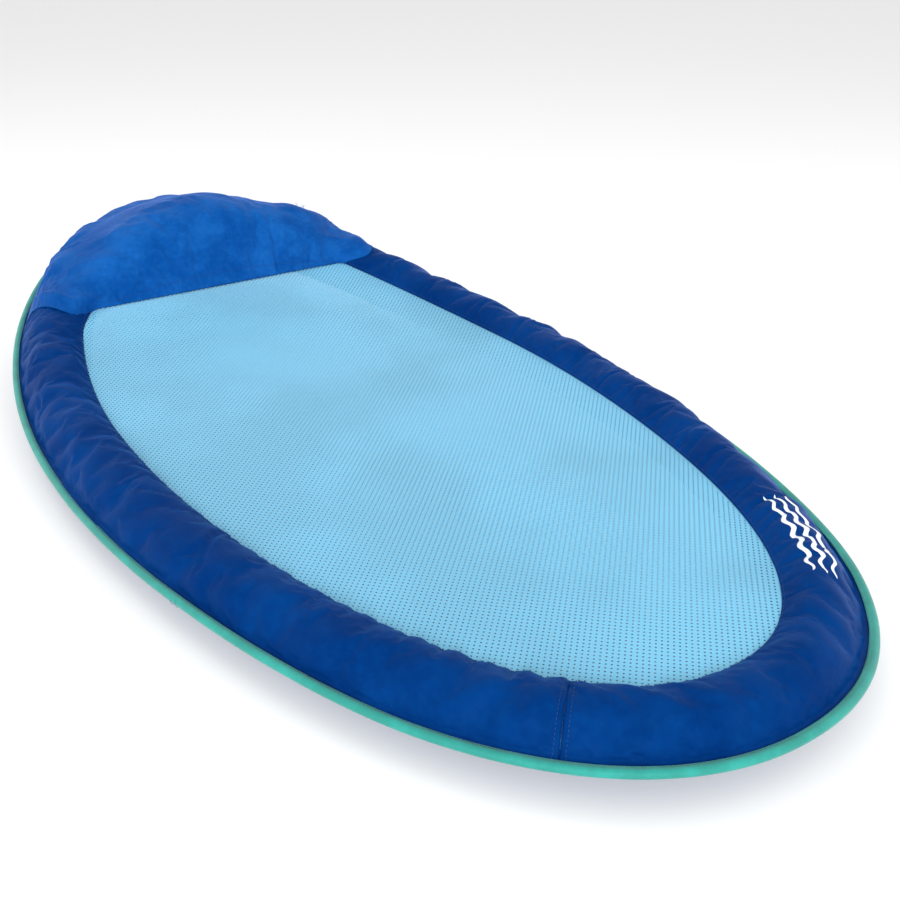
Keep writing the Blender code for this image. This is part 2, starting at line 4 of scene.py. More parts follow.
import bmesh
import bpy
import numpy as np
from bpy.props import FloatProperty, FloatVectorProperty, IntProperty, PointerProperty
from bpy.types import Operator, Panel, PropertyGroup
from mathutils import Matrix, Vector


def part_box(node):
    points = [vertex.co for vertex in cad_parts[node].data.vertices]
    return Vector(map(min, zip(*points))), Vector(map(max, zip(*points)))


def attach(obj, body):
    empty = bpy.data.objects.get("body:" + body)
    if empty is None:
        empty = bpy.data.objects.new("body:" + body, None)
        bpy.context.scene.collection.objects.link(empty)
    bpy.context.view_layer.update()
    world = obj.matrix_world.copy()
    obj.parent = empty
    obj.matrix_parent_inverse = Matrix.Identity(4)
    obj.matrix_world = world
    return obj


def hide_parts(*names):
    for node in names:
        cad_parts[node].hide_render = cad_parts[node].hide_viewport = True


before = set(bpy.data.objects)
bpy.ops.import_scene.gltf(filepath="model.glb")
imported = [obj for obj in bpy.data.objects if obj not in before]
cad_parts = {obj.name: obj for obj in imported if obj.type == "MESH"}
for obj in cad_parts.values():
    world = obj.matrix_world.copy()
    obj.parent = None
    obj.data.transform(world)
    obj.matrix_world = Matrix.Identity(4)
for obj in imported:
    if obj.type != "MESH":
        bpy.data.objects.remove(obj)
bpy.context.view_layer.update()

bl_info = {
    "name": "Pool float",
    "version": (1, 0, 0),
    "blender": (4, 5, 0),
    "location": "View3D > Sidebar > Pool float",
    "description": "Builds the fabric, mesh and trim of an inflatable pool float round its frame",
    "category": "Add Mesh",
}

SLEEVE_LOW, SLEEVE_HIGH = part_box("edge_sleeve")


# ---------------------------------------------------------------- settings


def metres(name, default, text):
    return FloatProperty(name=name, description=text, default=default, unit="LENGTH", precision=4)


def share(name, default, text):
    return FloatProperty(name=name, description=text, default=default, precision=4)


def colour(name, default, text):
    limits = {"size": 3, "min": 0, "max": 1}
    return FloatVectorProperty(name=name, description=text, default=default, subtype="COLOR", **limits)


def point(name, default, text):
    return FloatVectorProperty(name=name, description=text, default=default, subtype="XYZ", unit="LENGTH")


def degrees(name, default, text):
    return FloatProperty(name=name, description=text, default=math.radians(default), subtype="ANGLE")


class FLOAT_PG_ring(PropertyGroup):
    """The outline of the float and the section of its air tube."""

    length: metres("Length", SLEEVE_HIGH.y - SLEEVE_LOW.y, "From the head's edge to the foot's edge")
    width: metres("Width", SLEEVE_HIGH.x - SLEEVE_LOW.x, "Across the widest place")
    roundness: share("Roundness", 2.133, "Exponent of the outline: 2 is an ellipse, more is squarer")
    oval: share("Oval", -0.134, "Narrows the shoulders of the outline")
    egg: share("Egg", 0.010, "Makes the foot narrower than the head")
    square: share("Square", 0.0165, "Fills out the four corners")
    tube_width: metres("Tube width", 0.1045, "Width of the air tube at the middle of the float")
    tube_width_gain: metres("Tube width gain", 0.0115, "Extra width at the head, and less at the foot")
    tube_height: metres("Tube height", 0.092, "Height of the air tube at the middle of the float")
    tube_height_gain: metres("Tube height gain", 0.020, "Extra height at the head, and less at the foot")
    flange: metres("Flange", 0.015, "Flat sewn edge outside the tube")
    flange_loss: metres("Flange loss", 0.003, "Narrower flange at the head, wider at the foot")
    flattening: metres("Flattening", 0.0016, "Height that the floor presses out of the tube")
    head_lift: metres("Head lift", 0.100, "How far the head end curves up")
    foot_lift: metres("Foot lift", 0.011, "How far the foot end curves up")
    flat_share: share("Flat share", 0.13, "Middle part of the ring that lies flat")
    seam_turn: degrees("Seam turn", 144.3, "From the tube's outer tip, over its top, to the mesh seam")
    spacing: metres("Cloth spacing", 0.0032, "Distance between neighbouring points of the cloth")
    cloth: metres("Cloth thickness", 0.0007, "Thickness of the cover fabric")
    slack: share("Slack", 0.028, "Extra cloth that the air blows into creases")
    crease_limit: metres("Crease limit", 0.0028, "Farthest that the simulation may move the cloth")


class FLOAT_PG_sleeve(PropertyGroup):
    """The binding round the outer edge."""

    radius: metres("Pocket radius", 0.005, "Outside radius of the pocket that holds the hoop")
    inset: metres("Hoop inset", 0.0055, "From the outline to the hoop's centre line")
    lip: metres("Lip height", 0.0029, "Height of the lips over the middle of the cover's edge")
    lip_reach: share("Lip reach", 0.40, "Part of the flange that the lips cover, beside the hoop's pocket")
    cover_stop: metres("Cover edge", 0.0097, "From the outline to the raw edge of the covers")
    wall: metres("Tape thickness", 0.0008, "Thickness of the binding tape")
    wire: metres("Wire radius", 0.002, "Radius of the hoop's steel wire")
    joint_turn: degrees("Joint", 206.25, "Where the two ends of the tape overlap")


class FLOAT_PG_headrest(PropertyGroup):
    """The air-filled headrest."""

    front_y: metres("Front edge", 0.497, "Place of the straight front seam along the float")
    half_front: metres("Half front", 0.229, "Half the length of the front seam on the mesh")
    front_shift: metres("Front shift", 0.014, "How far the seam's left end is set in")
    crest: metres("Crest", 0.106, "How far the crest stands over the line between its seams")
    bow: metres("Side bow", 0.046, "How far the side seams bow towards the foot on the tube")
    crowding: share("Crowding", 1.5, "Crowds the steps of the plan towards the edge")
    clearance: metres("Clearance", 0.0014, "Between the pillow and the ring under it")
    back_inset: metres("Back inset", 0.012, "From the tube's outer tip to the back seam")
    seam_rise: metres("Seam rise", 0.0050, "Between the two covers beside their seam")
    slack: share("Slack", 0.035, "Extra cloth that the air blows into creases")
    crease_limit: metres("Crease limit", 0.0045, "Farthest that the simulation may move the cloth")


class FLOAT_PG_seat(PropertyGroup):
    """The knitted mesh seat."""

    pitch: metres("Hole pitch", 0.00852, "Distance between holes in a row, and between every other row")
    opening: share("Opening", 0.31, "Width of a hole as a share of its cell")
    relief: metres("Relief", 0.0005, "Height of the knit's ridges over its valleys")
    sag: metres("Sag", 0.004, "How far the middle hangs below its edges")


class FLOAT_PG_stitches(PropertyGroup):
    """Thread along the seams."""

    pitch: metres("Stitch pitch", 0.0045, "Distance between stitches")
    length: metres("Stitch length", 0.0032, "Length of one stitch")
    thickness: metres("Thread thickness", 0.0007, "Thickness of the thread")


class FLOAT_PG_print(PropertyGroup):
    """The white wave print at the foot end."""

    start: metres("Start", 0.600, "Distance of the print's middle from the foot seam, along the ring")
    length: metres("Length", 0.200, "Length of the print")
    waves: IntProperty(name="Waves", description="Number of wave lines", default=3)
    spacing: metres("Spacing", 0.0128, "Between neighbouring wave lines")
    height: metres("Wave height", 0.0028, "From the middle of a line to a wave's top")
    wave: metres("Wave length", 0.034, "From one wave's top to the next")
    line: metres("Line width", 0.0060, "Width of a wave line")


class FLOAT_PG_finish(PropertyGroup):
    """Colours of the cloth, mesh and trim."""

    cover: colour("Cover", (0.0004, 0.0225, 0.125), "Ring cover fabric")
    cover_lighter_patches: colour("Cover, lighter", (0.0010, 0.036, 0.175), "Lighter patches of the ring cover")
    # Painted light: both headrest colours are lighter than the cover's, to stand in for the light that falls
    # on the pillow's front face.
    headrest: colour("Headrest", (0.0020, 0.058, 0.260), "Headrest fabric")
    headrest_painted_lighter: colour("Headrest, lighter", (0.0080, 0.100, 0.370), "Lighter patches of the headrest")
    binding: colour("Binding", (0.012, 0.260, 0.220), "Edge tape")
    mesh: colour("Mesh", (0.140, 0.440, 0.650), "Seat mesh")
    ink: colour("Print", (0.80, 0.84, 0.90), "Print ink")
    floor: colour("Floor", (0.90, 0.90, 0.90), "Studio floor")


class FLOAT_PG_stage(PropertyGroup):
    """Camera and light."""

    azimuth: degrees("Azimuth", -34.253, "Camera's direction round the float")
    elevation: degrees("Elevation", 27.229, "Camera's height over the horizon")
    distance: metres("Distance", 1.473, "From the camera to its target")
    target: point("Target", (0.0407, -0.1807, 0.05), "Place that the camera looks at")
    lens: share("Lens", 42.27, "Focal length in millimetres")
    sensor: share("Sensor", 36.0, "Width of the camera's sensor in millimetres")
    sky: share("Sky", 0.88, "Strength of the even light from all round")


class FLOAT_PG_settings(PropertyGroup):
    """Everything that a user would change."""

    ring: PointerProperty(type=FLOAT_PG_ring)
    sleeve: PointerProperty(type=FLOAT_PG_sleeve)
    headrest: PointerProperty(type=FLOAT_PG_headrest)
    seat: PointerProperty(type=FLOAT_PG_seat)
    stitches: PointerProperty(type=FLOAT_PG_stitches)
    print_lines: PointerProperty(type=FLOAT_PG_print)
    finish: PointerProperty(type=FLOAT_PG_finish)
    stage: PointerProperty(type=FLOAT_PG_stage)


def settings():
    return bpy.context.scene.pool_float


# ---------------------------------------------------------------- outline and tube


SECTION_POWER = 1.5  # 1 makes the tube's section an ellipse, and more makes it a lens
EDGE_STEP = 0.1  # degrees between the points that measure the outer edge
SIDE_STEP = 0.5  # degrees to each side of a point, to find which way is out


def raw_outline(turn):
    """(across, along) of the unscaled outline at an angle or angles in radians."""
    ring = settings().ring
    cosine, sine = np.cos(turn), np.sin(turn)
    power = 2 / ring.roundness
    swell = 1 + ring.oval * np.cos(2 * turn) + ring.egg * np.sin(3 * turn) + ring.square * np.cos(4 * turn)
    across = np.copysign(np.abs(cosine) ** power, cosine) * swell * ring.width
    along = np.copysign(np.abs(sine) ** power, sine) * swell * ring.length
    return across, along


@functools.lru_cache(maxsize=None)
def outline_limits():
    across, along = raw_outline(np.radians(np.arange(720) / 2))
    return across.max(), along.max(), along.min()


def outline(angle):
    """Points of the outer edge at outline angles in degrees, as seen from above."""
    ring = settings().ring
    widest, head, foot = outline_limits()
    across, along = raw_outline(np.radians(angle))
    x = across / widest * ring.width / 2
    y = (along - (head + foot) / 2) / (head - foot) * ring.length
    return np.stack([x, y], -1)


def outward(angle):
    step = outline(angle + SIDE_STEP) - outline(angle - SIDE_STEP)
    out = np.stack([step[..., 1], -step[..., 0]], -1)
    return out / np.linalg.norm(out, axis=-1, keepdims=True)


def along_share(angle):
    return 2 * outline(angle)[..., 1] / settings().ring.length


def lift(angle):
    ring = settings().ring
    along = along_share(angle)
    rise = np.clip((np.abs(along) - ring.flat_share) / (1 - ring.flat_share), 0, None) ** 2
    return rise * np.where(along > 0, ring.head_lift, ring.foot_lift)


def tube_width(angle):
    ring = settings().ring
    return ring.tube_width + ring.tube_width_gain * along_share(angle)


def tube_height(angle):
    ring = settings().ring
    return ring.tube_height + ring.tube_height_gain * along_share(angle)


def flange(angle):
    ring = settings().ring
    return ring.flange - ring.flange_loss * along_share(angle)


def flange_height(angle):
    return tube_height(angle) / 2 - settings().ring.flattening


def place(angle, out, height):
    """World points at a distance outside the outline and a height over the tube's underside."""
    spot = outline(angle) + outward(angle) * np.asarray(out)[..., None]
    return np.concatenate([spot, (lift(angle) + height)[..., None]], -1)


def tube_point(angle, turn, inset=0.0):
    """(out, height) on the lens-shaped section. turn is 0 at the outer tip and a right angle on top."""
    half_width, half_height = tube_width(angle) / 2, tube_height(angle) / 2
    out = -flange(angle) - half_width + (half_width - inset) * np.cos(turn)
    rise = np.copysign(np.abs(np.sin(turn)) ** SECTION_POWER, np.sin(turn))
    height = half_height + (half_height - inset) * rise - settings().ring.flattening
    return out, np.maximum(height, inset)


@functools.lru_cache(maxsize=None)
def edge_table():
    """Outline angles in degrees against the distance round the float, from the right side."""
    angles = np.arange(0, 360 + EDGE_STEP / 10, EDGE_STEP)
    steps = np.linalg.norm(np.diff(outline(angles), axis=0), axis=1)
    return angles, np.concatenate([[0], np.cumsum(steps)])


def perimeter():
    return edge_table()[1][-1]


def distance_at(angle):
    """Distance round the outer edge at an outline angle, from the right side by way of the head."""
    angles, distances = edge_table()
    turns = np.floor(np.asarray(angle) / 360)
    return np.interp(np.asarray(angle) - 360 * turns, angles, distances) + turns * distances[-1]


def angle_at(distance):
    angles, distances = edge_table()
    turns = np.floor(np.asarray(distance) / distances[-1])
    return np.interp(np.asarray(distance) - turns * distances[-1], distances, angles) + 360 * turns


# ---------------------------------------------------------------- relief of the cloth


class Relief:
    """Height of cloth over its smooth shape, on a flat map of the piece in metres."""

    REACH = 3  # widths to each side over which a crease is drawn
    END_WIDTH = 0.6  # width of a crease where it runs out, as a share of its width at the start
    FADE = 0.8  # power by which a crease's depth runs out
    RIM = 0.7  # how much the cloth stands up beside a crease

    def __init__(self, seed, period=None):
        self.random = np.random.default_rng(seed)
        self.period = period
        self.waves = []
        self.creases = []

    def add_waves(self, height, low, high, count=28, stretch=1.0):
        """Soft undulation with wavelengths between low and high. stretch lengthens it across the map."""
        for _ in range(count):
            wavelength = self.random.uniform(low, high)
            turn = self.random.uniform(0, math.tau)
            u = math.cos(turn) / wavelength
            v = math.sin(turn) / wavelength / stretch
            if self.period:
                u = round(u * self.period) / self.period
            phase = self.random.uniform(0, math.tau)
            self.waves.append((u, v, phase, height / math.sqrt(count / 2)))

    def add_crease(self, start, end, depth, width):
        """A fold from start, where it is deepest, to end, where it runs out. A negative depth is a ridge."""
        self.creases.append((*start, *end, depth, width))

    def waves_at(self, u, v):
        total = np.zeros_like(u)
        for wave_u, wave_v, phase, height in self.waves:
            total += height * np.cos(math.tau * (u * wave_u + v * wave_v) + phase)
        return total

    def creases_at(self, u, v):
        total = np.zeros_like(u)
        shifts = (-self.period, 0, self.period) if self.period else (0,)
        for u0, v0, u1, v1, depth, width in self.creases:
            for shift in shifts:
                low = min(u0, u1) + shift - self.REACH * width
                high = max(u0, u1) + shift + self.REACH * width
                near = np.nonzero(((u > low) & (u < high)).any(axis=1))[0]
                if not len(near):
                    continue
                rows = slice(near[0], near[-1] + 1)
                du, dv = u1 - u0, v1 - v0
                pu, pv = u[rows] - u0 - shift, v[rows] - v0
                along = np.clip((pu * du + pv * dv) / (du * du + dv * dv), 0, 1)
                narrowing = self.END_WIDTH + (1 - self.END_WIDTH) * (1 - along)
                gap = np.hypot(pu - along * du, pv - along * dv) / (width * narrowing)
                fold = (1 - self.RIM * gap**2) * np.exp(-(gap**2))
                total[rows] -= depth * (1 - along) ** self.FADE * fold
        return total


def smooth_step(value, low, high):
    part = np.clip((value - low) / (high - low), 0, 1)
    return part * part * (3 - 2 * part)


# ---------------------------------------------------------------- ring cover


PANELS = {"head": (45.0, 135.0), "left": (135.0, 247.5), "foot": (247.5, 345.0), "right": (345.0, 405.0)}
TOP_SPAN = 0.168  # across the top cover, from the mesh seam to the outer edge
BOTTOM_SPAN = 0.170  # the same across the bottom cover
TUBE_SHARE = 0.91  # part of the span that lies on the tube
SECTION_SAMPLES = 400  # points that measure the way round the tube
WIDEST_ANGLE = 180.0  # outline angle of the section that spaces out the cloth's points
TOP_SEAM_TURN = 0.02  # radians from the mesh seam to the top cover's first point
BOTTOM_SEAM_TURN = 0.03  # and to the bottom cover's
FLANGE_STEPS = (0.33, 0.67, 1.0)  # points of the flat edge, from the tube outwards
LIP_START = 0.0048  # from the outline to where the sleeve's lips leave its pocket
SEAM_GAP = 0.0012  # half the distance between the two covers in the flat edge
SEAM_GAP_FADE = 0.004  # how far up the tube that distance runs out
THREAD_GAP = 0.0002  # half the distance between two panels at their seam
CORNER_PULL = 0.022  # how far the mesh seam is drawn in beside the headrest's corner
CORNER_DEPTH = 0.045  # how far into the cover the pull reaches
CORNER_RISE = (112.0, 126.0)  # outline angles over which the pull grows
CORNER_FALL = (127.0, 141.0)  # and over which it goes
HEADREST_RISE = (34.0, 41.0)  # outline angles over which the headrest starts to press the cover smooth
HEADREST_FALL = (139.0, 146.0)  # and over which it stops
FLOOR_GAP = 0.0004  # keeps the flattened cloth off the floor's own plane
FLOOR_CALM = (0.001, 0.012)  # heights over which the wrinkles start, above the floor
RING_VALVE = (0.0, 0.77)  # middle of the ring's valve, across and along the float
VALVE_WELL = 0.022  # how far the cover and the bladder make room for the valve and its flap
VALVE_WELL_RADIUS = 0.0185  # of the hole in the cover round the valve
WELL_RIM = (0.85, 1.12)  # shares of its radius over which a well's wall rises
SEAM_DEPTH = 0.0008  # dip of the cloth along the seams across the tube
SEAM_WIDTH = 0.0045  # of that dip, to each side
FOLDS_FROM_SEAM = (-0.004, 0.016)  # distances over which folds grow, from the mesh seam
FOLDS_FROM_EDGE = (-0.001, 0.016)  # and from the outer edge
SWELL_FROM_SEAM = (0.0, 0.035)  # distances over which the soft waves grow
SWELL_FROM_EDGE = (0.0, 0.030)  # and from the outer edge
TOP_SEED, BOTTOM_SEED, SLEEVE_SEED, DRIFT_SEED, HEADREST_SEED = 11, 12, 21, 22, 31

# Gathers along a seam: number, seam, side, start and reach from the seam, depth, width
TOP_GATHERS = (
    (150, 0.0, 1, -0.002, (0.012, 0.042), (0.0004, 0.0013), (0.003, 0.007)),
    (130, TOP_SPAN, -1, 0.016, (0.012, 0.040), (0.0003, 0.0010), (0.003, 0.006)),
)
# The same for the lower cover, whose gathers have one width
BOTTOM_GATHERS = (
    (150, 0.0, 1, 0.0, (0.015, 0.05), (0.0005, 0.0016)),
    (110, BOTTOM_SPAN, -1, 0.016, (0.02, 0.045), (0.0004, 0.0012)),
)
BOTTOM_GATHER_WIDTH = 0.005
GATHER_LEAN = 0.010  # spread of a gather's end along its seam
LOOSE_FOLDS = 26  # folds of the upper cover that touch no seam
SEAM_PUCKERS = 7  # on each side of a seam across the tube
# (outline angle, depth) of the folds that scallop the left side, and of those on the right side
LEFT_FOLDS = (
    (223.0, 0.0020),
    (229.5, 0.0034),
    (233.5, 0.0040),
    (237.0, 0.0030),
    (241.0, 0.0034),
    (244.5, 0.0020),
)
RIGHT_FOLDS = ((26.0, 0.0030), (14.0, 0.0026), (5.0, 0.0022), (352.0, 0.0024), (36.0, 0.0028))
PINCH_ANGLE = 203.0  # outline angle of the left side's one deep fold
# Folds where the foot end bends round: first outline angle, degrees between folds, number
FOOT_SEAM_FOLDS = (296.0, 2.9, 16)
FOOT_EDGE_FOLDS = (288.0, 3.6, 12)


@functools.lru_cache(maxsize=None)
def top_relief():
    """Wrinkles of the ring's upper cover. u runs round the ring, v from the mesh seam outwards."""
    relief = Relief(TOP_SEED, perimeter())
    relief.add_waves(0.0016, 0.10, 0.26, stretch=0.8)
    relief.add_waves(0.0007, 0.04, 0.09)
    draw = relief.random
    for count, seam, side, start, reach, depth, width in TOP_GATHERS:
        for _ in range(count):
            u = draw.uniform(0, perimeter())
            end = seam + side * draw.uniform(*reach)
            relief.add_crease(
                (u, seam + side * start),
                (u + draw.normal(0, GATHER_LEAN), end),
                draw.uniform(*depth),
                draw.uniform(*width),
            )
    for _ in range(LOOSE_FOLDS):  # across the tube
        u, v = draw.uniform(0, perimeter()), draw.uniform(0.03, 0.12)
        end = (u + draw.normal(0, 0.035), v + draw.normal(0, 0.03))
        relief.add_crease((u, v), end, draw.uniform(0.0006, 0.0016), draw.uniform(0.006, 0.012))
    add_seam_gathers(relief, TOP_SPAN)
    add_side_folds(relief)
    add_foot_folds(relief)
    return relief


def add_seam_gathers(relief, span):
    """Small puckers on both sides of each seam that crosses the tube."""
    draw = relief.random
    for first, _ in PANELS.values():
        middle = distance_at(first)
        for side in (-1, 1):
            for i in range(SEAM_PUCKERS):
                v = span * (i + draw.uniform(0.2, 0.8)) / SEAM_PUCKERS
                reach = draw.uniform(0.010, 0.030)
                end = (middle + side * reach, v + draw.normal(0, 0.006))
                relief.add_crease((middle, v), end, draw.uniform(0.0004, 0.0010), 0.004)


def add_side_folds(relief):
    """The scalloped inner edge of the left side, its pinched fold and the folds of the right side."""
    for angle, depth in LEFT_FOLDS:
        u = distance_at(angle)
        relief.add_crease((u, -0.004), (u + 0.012, 0.046), depth, 0.0075)
        relief.add_crease((u + 0.022, -0.004), (u + 0.026, 0.030), -depth * 0.8, 0.013)
    pinch = distance_at(PINCH_ANGLE)
    relief.add_crease((pinch, 0.030), (pinch + 0.045, 0.085), 0.0022, 0.008)
    for angle, depth in RIGHT_FOLDS:
        u = distance_at(angle)
        relief.add_crease((u, 0.0), (u + 0.015, 0.075), depth, 0.010)
        relief.add_crease((u - 0.030, 0.10), (u + 0.010, 0.04), -depth, 0.016)


def add_foot_folds(relief):
    """Gathers where the foot end bends round on its right side."""
    draw = relief.random
    first, step, count = FOOT_SEAM_FOLDS
    for i in range(count):
        u = distance_at(first + step * i) + draw.normal(0, 0.004)
        lean = draw.normal(0.012, 0.012)
        end = (u + lean, draw.uniform(0.035, 0.085))
        relief.add_crease((u, -0.003), end, draw.uniform(0.0012, 0.0026), 0.0065)
    first, step, count = FOOT_EDGE_FOLDS
    for i in range(count):
        u = distance_at(first + step * i) + draw.normal(0, 0.006)
        end = (u + draw.normal(0, 0.02), TOP_SPAN - draw.uniform(0.05, 0.10))
        relief.add_crease((u, TOP_SPAN - 0.018), end, draw.uniform(0.0012, 0.0026), 0.008)


@functools.lru_cache(maxsize=None)
def bottom_relief():
    """Wrinkles of the ring's lower cover. v runs from the mesh seam under the tube to the outer edge."""
    relief = Relief(BOTTOM_SEED, perimeter())
    relief.add_waves(0.0013, 0.08, 0.22)
    draw = relief.random
    for count, seam, side, start, reach, depth in BOTTOM_GATHERS:
        for _ in range(count):
            u = draw.uniform(0, perimeter())
            end = (u + draw.normal(0, GATHER_LEAN), seam + side * draw.uniform(*reach))
            relief.add_crease((u, seam + side * start), end, draw.uniform(*depth), BOTTOM_GATHER_WIDTH)
    add_seam_gathers(relief, BOTTOM_SPAN)
    return relief


def section_turns(count, top):
    """Turns round the tube from the mesh seam to its outer tip, evenly spaced along the cloth."""
    seam = settings().ring.seam_turn
    first, last = (seam - TOP_SEAM_TURN, 0.0) if top else (seam + BOTTOM_SEAM_TURN, math.tau)
    dense = np.linspace(first, last, SECTION_SAMPLES)
    out, height = tube_point(np.full(SECTION_SAMPLES, WIDEST_ANGLE), dense)
    steps = np.hypot(np.diff(out), np.diff(height))
    travel = np.concatenate([[0], np.cumsum(steps)])
    return np.interp(np.linspace(0, travel[-1], count), travel, dense)


def cover_grid(distances, top):
    """Smooth points of the cover, one row for each distance round the ring, with the flange last."""
    side = 1 if top else -1
    turns = section_turns(round(TOP_SPAN * TUBE_SHARE / settings().ring.spacing), top)
    shares = np.array(FLANGE_STEPS)
    angles = np.repeat(angle_at(distances)[:, None], len(turns) + len(shares), 1)
    body, edge = angles[:, : len(turns)], angles[:, len(turns) :]
    out, height = tube_point(body, turns[None, :])
    gap = SEAM_GAP * side
    height = height + gap * np.exp(-np.abs(out + flange(body)) / SEAM_GAP_FADE)
    stop = flange(edge) + (settings().sleeve.cover_stop - flange(edge)) * shares
    out = np.concatenate([out, -stop], 1)
    height = np.concatenate([height, flange_height(edge) + gap], 1)
    return place(angles, out, height)


def grid_normals(points, outside_up):
    along = np.gradient(points, axis=0)
    across = np.gradient(points, axis=1)
    normal = np.cross(along, across)
    normal /= np.maximum(np.linalg.norm(normal, axis=-1, keepdims=True), 1e-9)
    middle = normal[:, normal.shape[1] // 2, 2].mean()
    return normal if (middle > 0) == outside_up else -normal


def cover_map(distances, points):
    """(u, v) of every grid point in metres: round the ring, and across the cloth from the mesh seam."""
    steps = np.linalg.norm(np.diff(points, axis=1), axis=-1)
    v = np.concatenate([np.zeros((len(points), 1)), np.cumsum(steps, axis=1)], 1)
    u = np.broadcast_to(np.asarray(distances)[:, None], v.shape).copy()
    return u, v


def pull_corner(points, distances, v):
    """Draws the mesh seam in beside the headrest's left corner."""
    angles = angle_at(distances)
    reach = smooth_step(angles, *CORNER_RISE) * (1 - smooth_step(angles, *CORNER_FALL))
    share_in = np.clip(1 - v / CORNER_DEPTH, 0, 1) ** 1.5
    move = CORNER_PULL * reach[:, None] * share_in
    points[..., :2] -= outward(angles)[:, None, :] * move[..., None]
    return points


def cover_surface(distances, top):
    """Wrinkled points of the cover and their flat map."""
    points = cover_grid(distances, top)
    u, v = cover_map(distances, points)
    if top:
        points = pull_corner(points, distances, v)
    normal = grid_normals(points, top)
    relief = top_relief() if top else bottom_relief()
    span = v[:, -4:-3]
    inner = smooth_step(v, *FOLDS_FROM_SEAM)
    outer = smooth_step(span - v, *FOLDS_FROM_EDGE)
    loose = smooth_step(v, *SWELL_FROM_SEAM) * smooth_step(span - v, *SWELL_FROM_EDGE)
    seams = np.zeros_like(u)
    for first, _ in PANELS.values():
        middle = distance_at(first)
        for shift in (-perimeter(), 0, perimeter()):
            seams += np.exp(-(((u - middle - shift) / SEAM_WIDTH) ** 2))
    angles = np.mod(angle_at(distances) + 180, 360) - 180
    pressed = smooth_step(angles, *HEADREST_RISE) * (1 - smooth_step(angles, *HEADREST_FALL))
    calm = 1 - pressed[:, None] if top else 1.0
    floor_side = 1.0 if top else smooth_step(points[..., 2] - lift(angle_at(u)), *FLOOR_CALM)
    swell = relief.waves_at(u, v) * loose * floor_side
    folds = relief.creases_at(u, v) * inner * outer * floor_side
    height = (swell + folds - SEAM_DEPTH * seams * outer * inner) * calm
    points = points + normal * height[..., None]
    points[..., 2] = np.maximum(points[..., 2], FLOOR_GAP)
    if not top:
        points[..., 2] += VALVE_WELL * well_share(points, RING_VALVE, VALVE_WELL_RADIUS)
    return points, u, v


def well_share(points, middle, radius):
    """1 over a valve and 0 a little outside its rim, for the well that the cloth makes round it."""
    gap = np.hypot(points[..., 0] - middle[0], points[..., 1] - middle[1])
    return 1 - smooth_step(gap, radius * WELL_RIM[0], radius * WELL_RIM[1])


@functools.lru_cache(maxsize=None)
def panel_surface(side, top):
    """One panel of the cover, wrinkled, and blown up by Blender's Cloth on the ring's upper side, except
    under the headrest.
    """
    points, u, v = cover_surface(panel_distances(side), top)
    if top and side != "head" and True:
        ring = settings().ring
        points = points + cloth_creases(points, ring.slack, ring.crease_limit)
    return points, u, v


CLOTH_FRAMES = 20  # frames until the cloth stands still
CLOTH_QUALITY = 5  # steps in a frame
CLOTH_MASS = 0.15  # kilograms for each point
CLOTH_BENDING = 0.3  # stiffness
CLOTH_PRESSURE = 4  # of the air under the cloth
SEWN_COLUMNS = 2  # columns of the coarse grid that the outer seam holds
CREASE_WINDOW = 13  # rows of the running mean that separates creases from the overall swelling


def cloth_creases(points, slack, limit):
    """How far each point of a grid moves when air blows up its cloth with a little slack in it."""
    coarse = points[::2, ::2]
    mesh = grid_mesh("cloth_trial", coarse)
    face_outwards(mesh, True)
    trial = bpy.data.objects.new("cloth_trial", mesh)
    bpy.context.scene.collection.objects.link(trial)
    index = np.arange(coarse.shape[0] * coarse.shape[1]).reshape(coarse.shape[:2])
    border = [index[:1], index[-1:], index[:, :1], index[:, -SEWN_COLUMNS:]]
    sewn = trial.vertex_groups.new(name="sewn")
    sewn.add([int(i) for i in np.unique(np.concatenate([b.reshape(-1) for b in border]))], 1.0, "REPLACE")
    cloth = trial.modifiers.new("Cloth", "CLOTH")
    cloth.settings.quality = CLOTH_QUALITY
    cloth.settings.mass = CLOTH_MASS
    cloth.settings.bending_stiffness = CLOTH_BENDING
    cloth.settings.vertex_group_mass = "sewn"
    cloth.settings.shrink_min = -slack
    cloth.settings.use_pressure = True
    cloth.settings.uniform_pressure_force = CLOTH_PRESSURE
    cloth.settings.effector_weights.gravity = 0
    cloth.collision_settings.use_collision = False
    cloth.point_cache.frame_start = 1
    cloth.point_cache.frame_end = CLOTH_FRAMES
    scene = bpy.context.scene
    for frame_number in range(1, CLOTH_FRAMES + 1):
        scene.frame_set(frame_number)
    graph = bpy.context.evaluated_depsgraph_get()
    result = trial.evaluated_get(graph)
    moved = np.zeros(coarse.size, np.float32)
    result.data.vertices.foreach_get("co", moved)
    move = moved.reshape(coarse.shape).astype(float) - coarse
    bpy.data.objects.remove(trial)
    scene.frame_set(1)
    move -= smooth_rows(move, CREASE_WINDOW)
    size = np.maximum(np.linalg.norm(move, axis=-1, keepdims=True), 1e-9)
    move *= limit * np.tanh(size / limit) / size
    return stretch_grid(move, points.shape)


def smooth_rows(values, window):
    """Running mean along the first axis of a grid; what is left without it is the short creases."""
    kernel = np.ones(window) / window
    padded = np.pad(values, ((window // 2, window // 2), (0, 0), (0, 0)), mode="edge")
    columns = np.apply_along_axis(lambda line: np.convolve(line, kernel, mode="valid"), 0, padded)
    return columns[: values.shape[0]]


def stretch_grid(values, shape):
    """A coarse grid of every other point, spread over the fine grid."""
    rows, columns = np.arange(shape[0]), np.arange(shape[1])
    coarse_rows, coarse_columns = rows[::2], columns[::2]
    along = np.stack(
        [[np.interp(rows, coarse_rows, values[:, j, k]) for k in range(3)] for j in range(values.shape[1])]
    )
    across = []
    for i in range(len(rows)):
        across.append([np.interp(columns, coarse_columns, along[:, k, i]) for k in range(3)])
    return np.array(across).transpose(0, 2, 1)


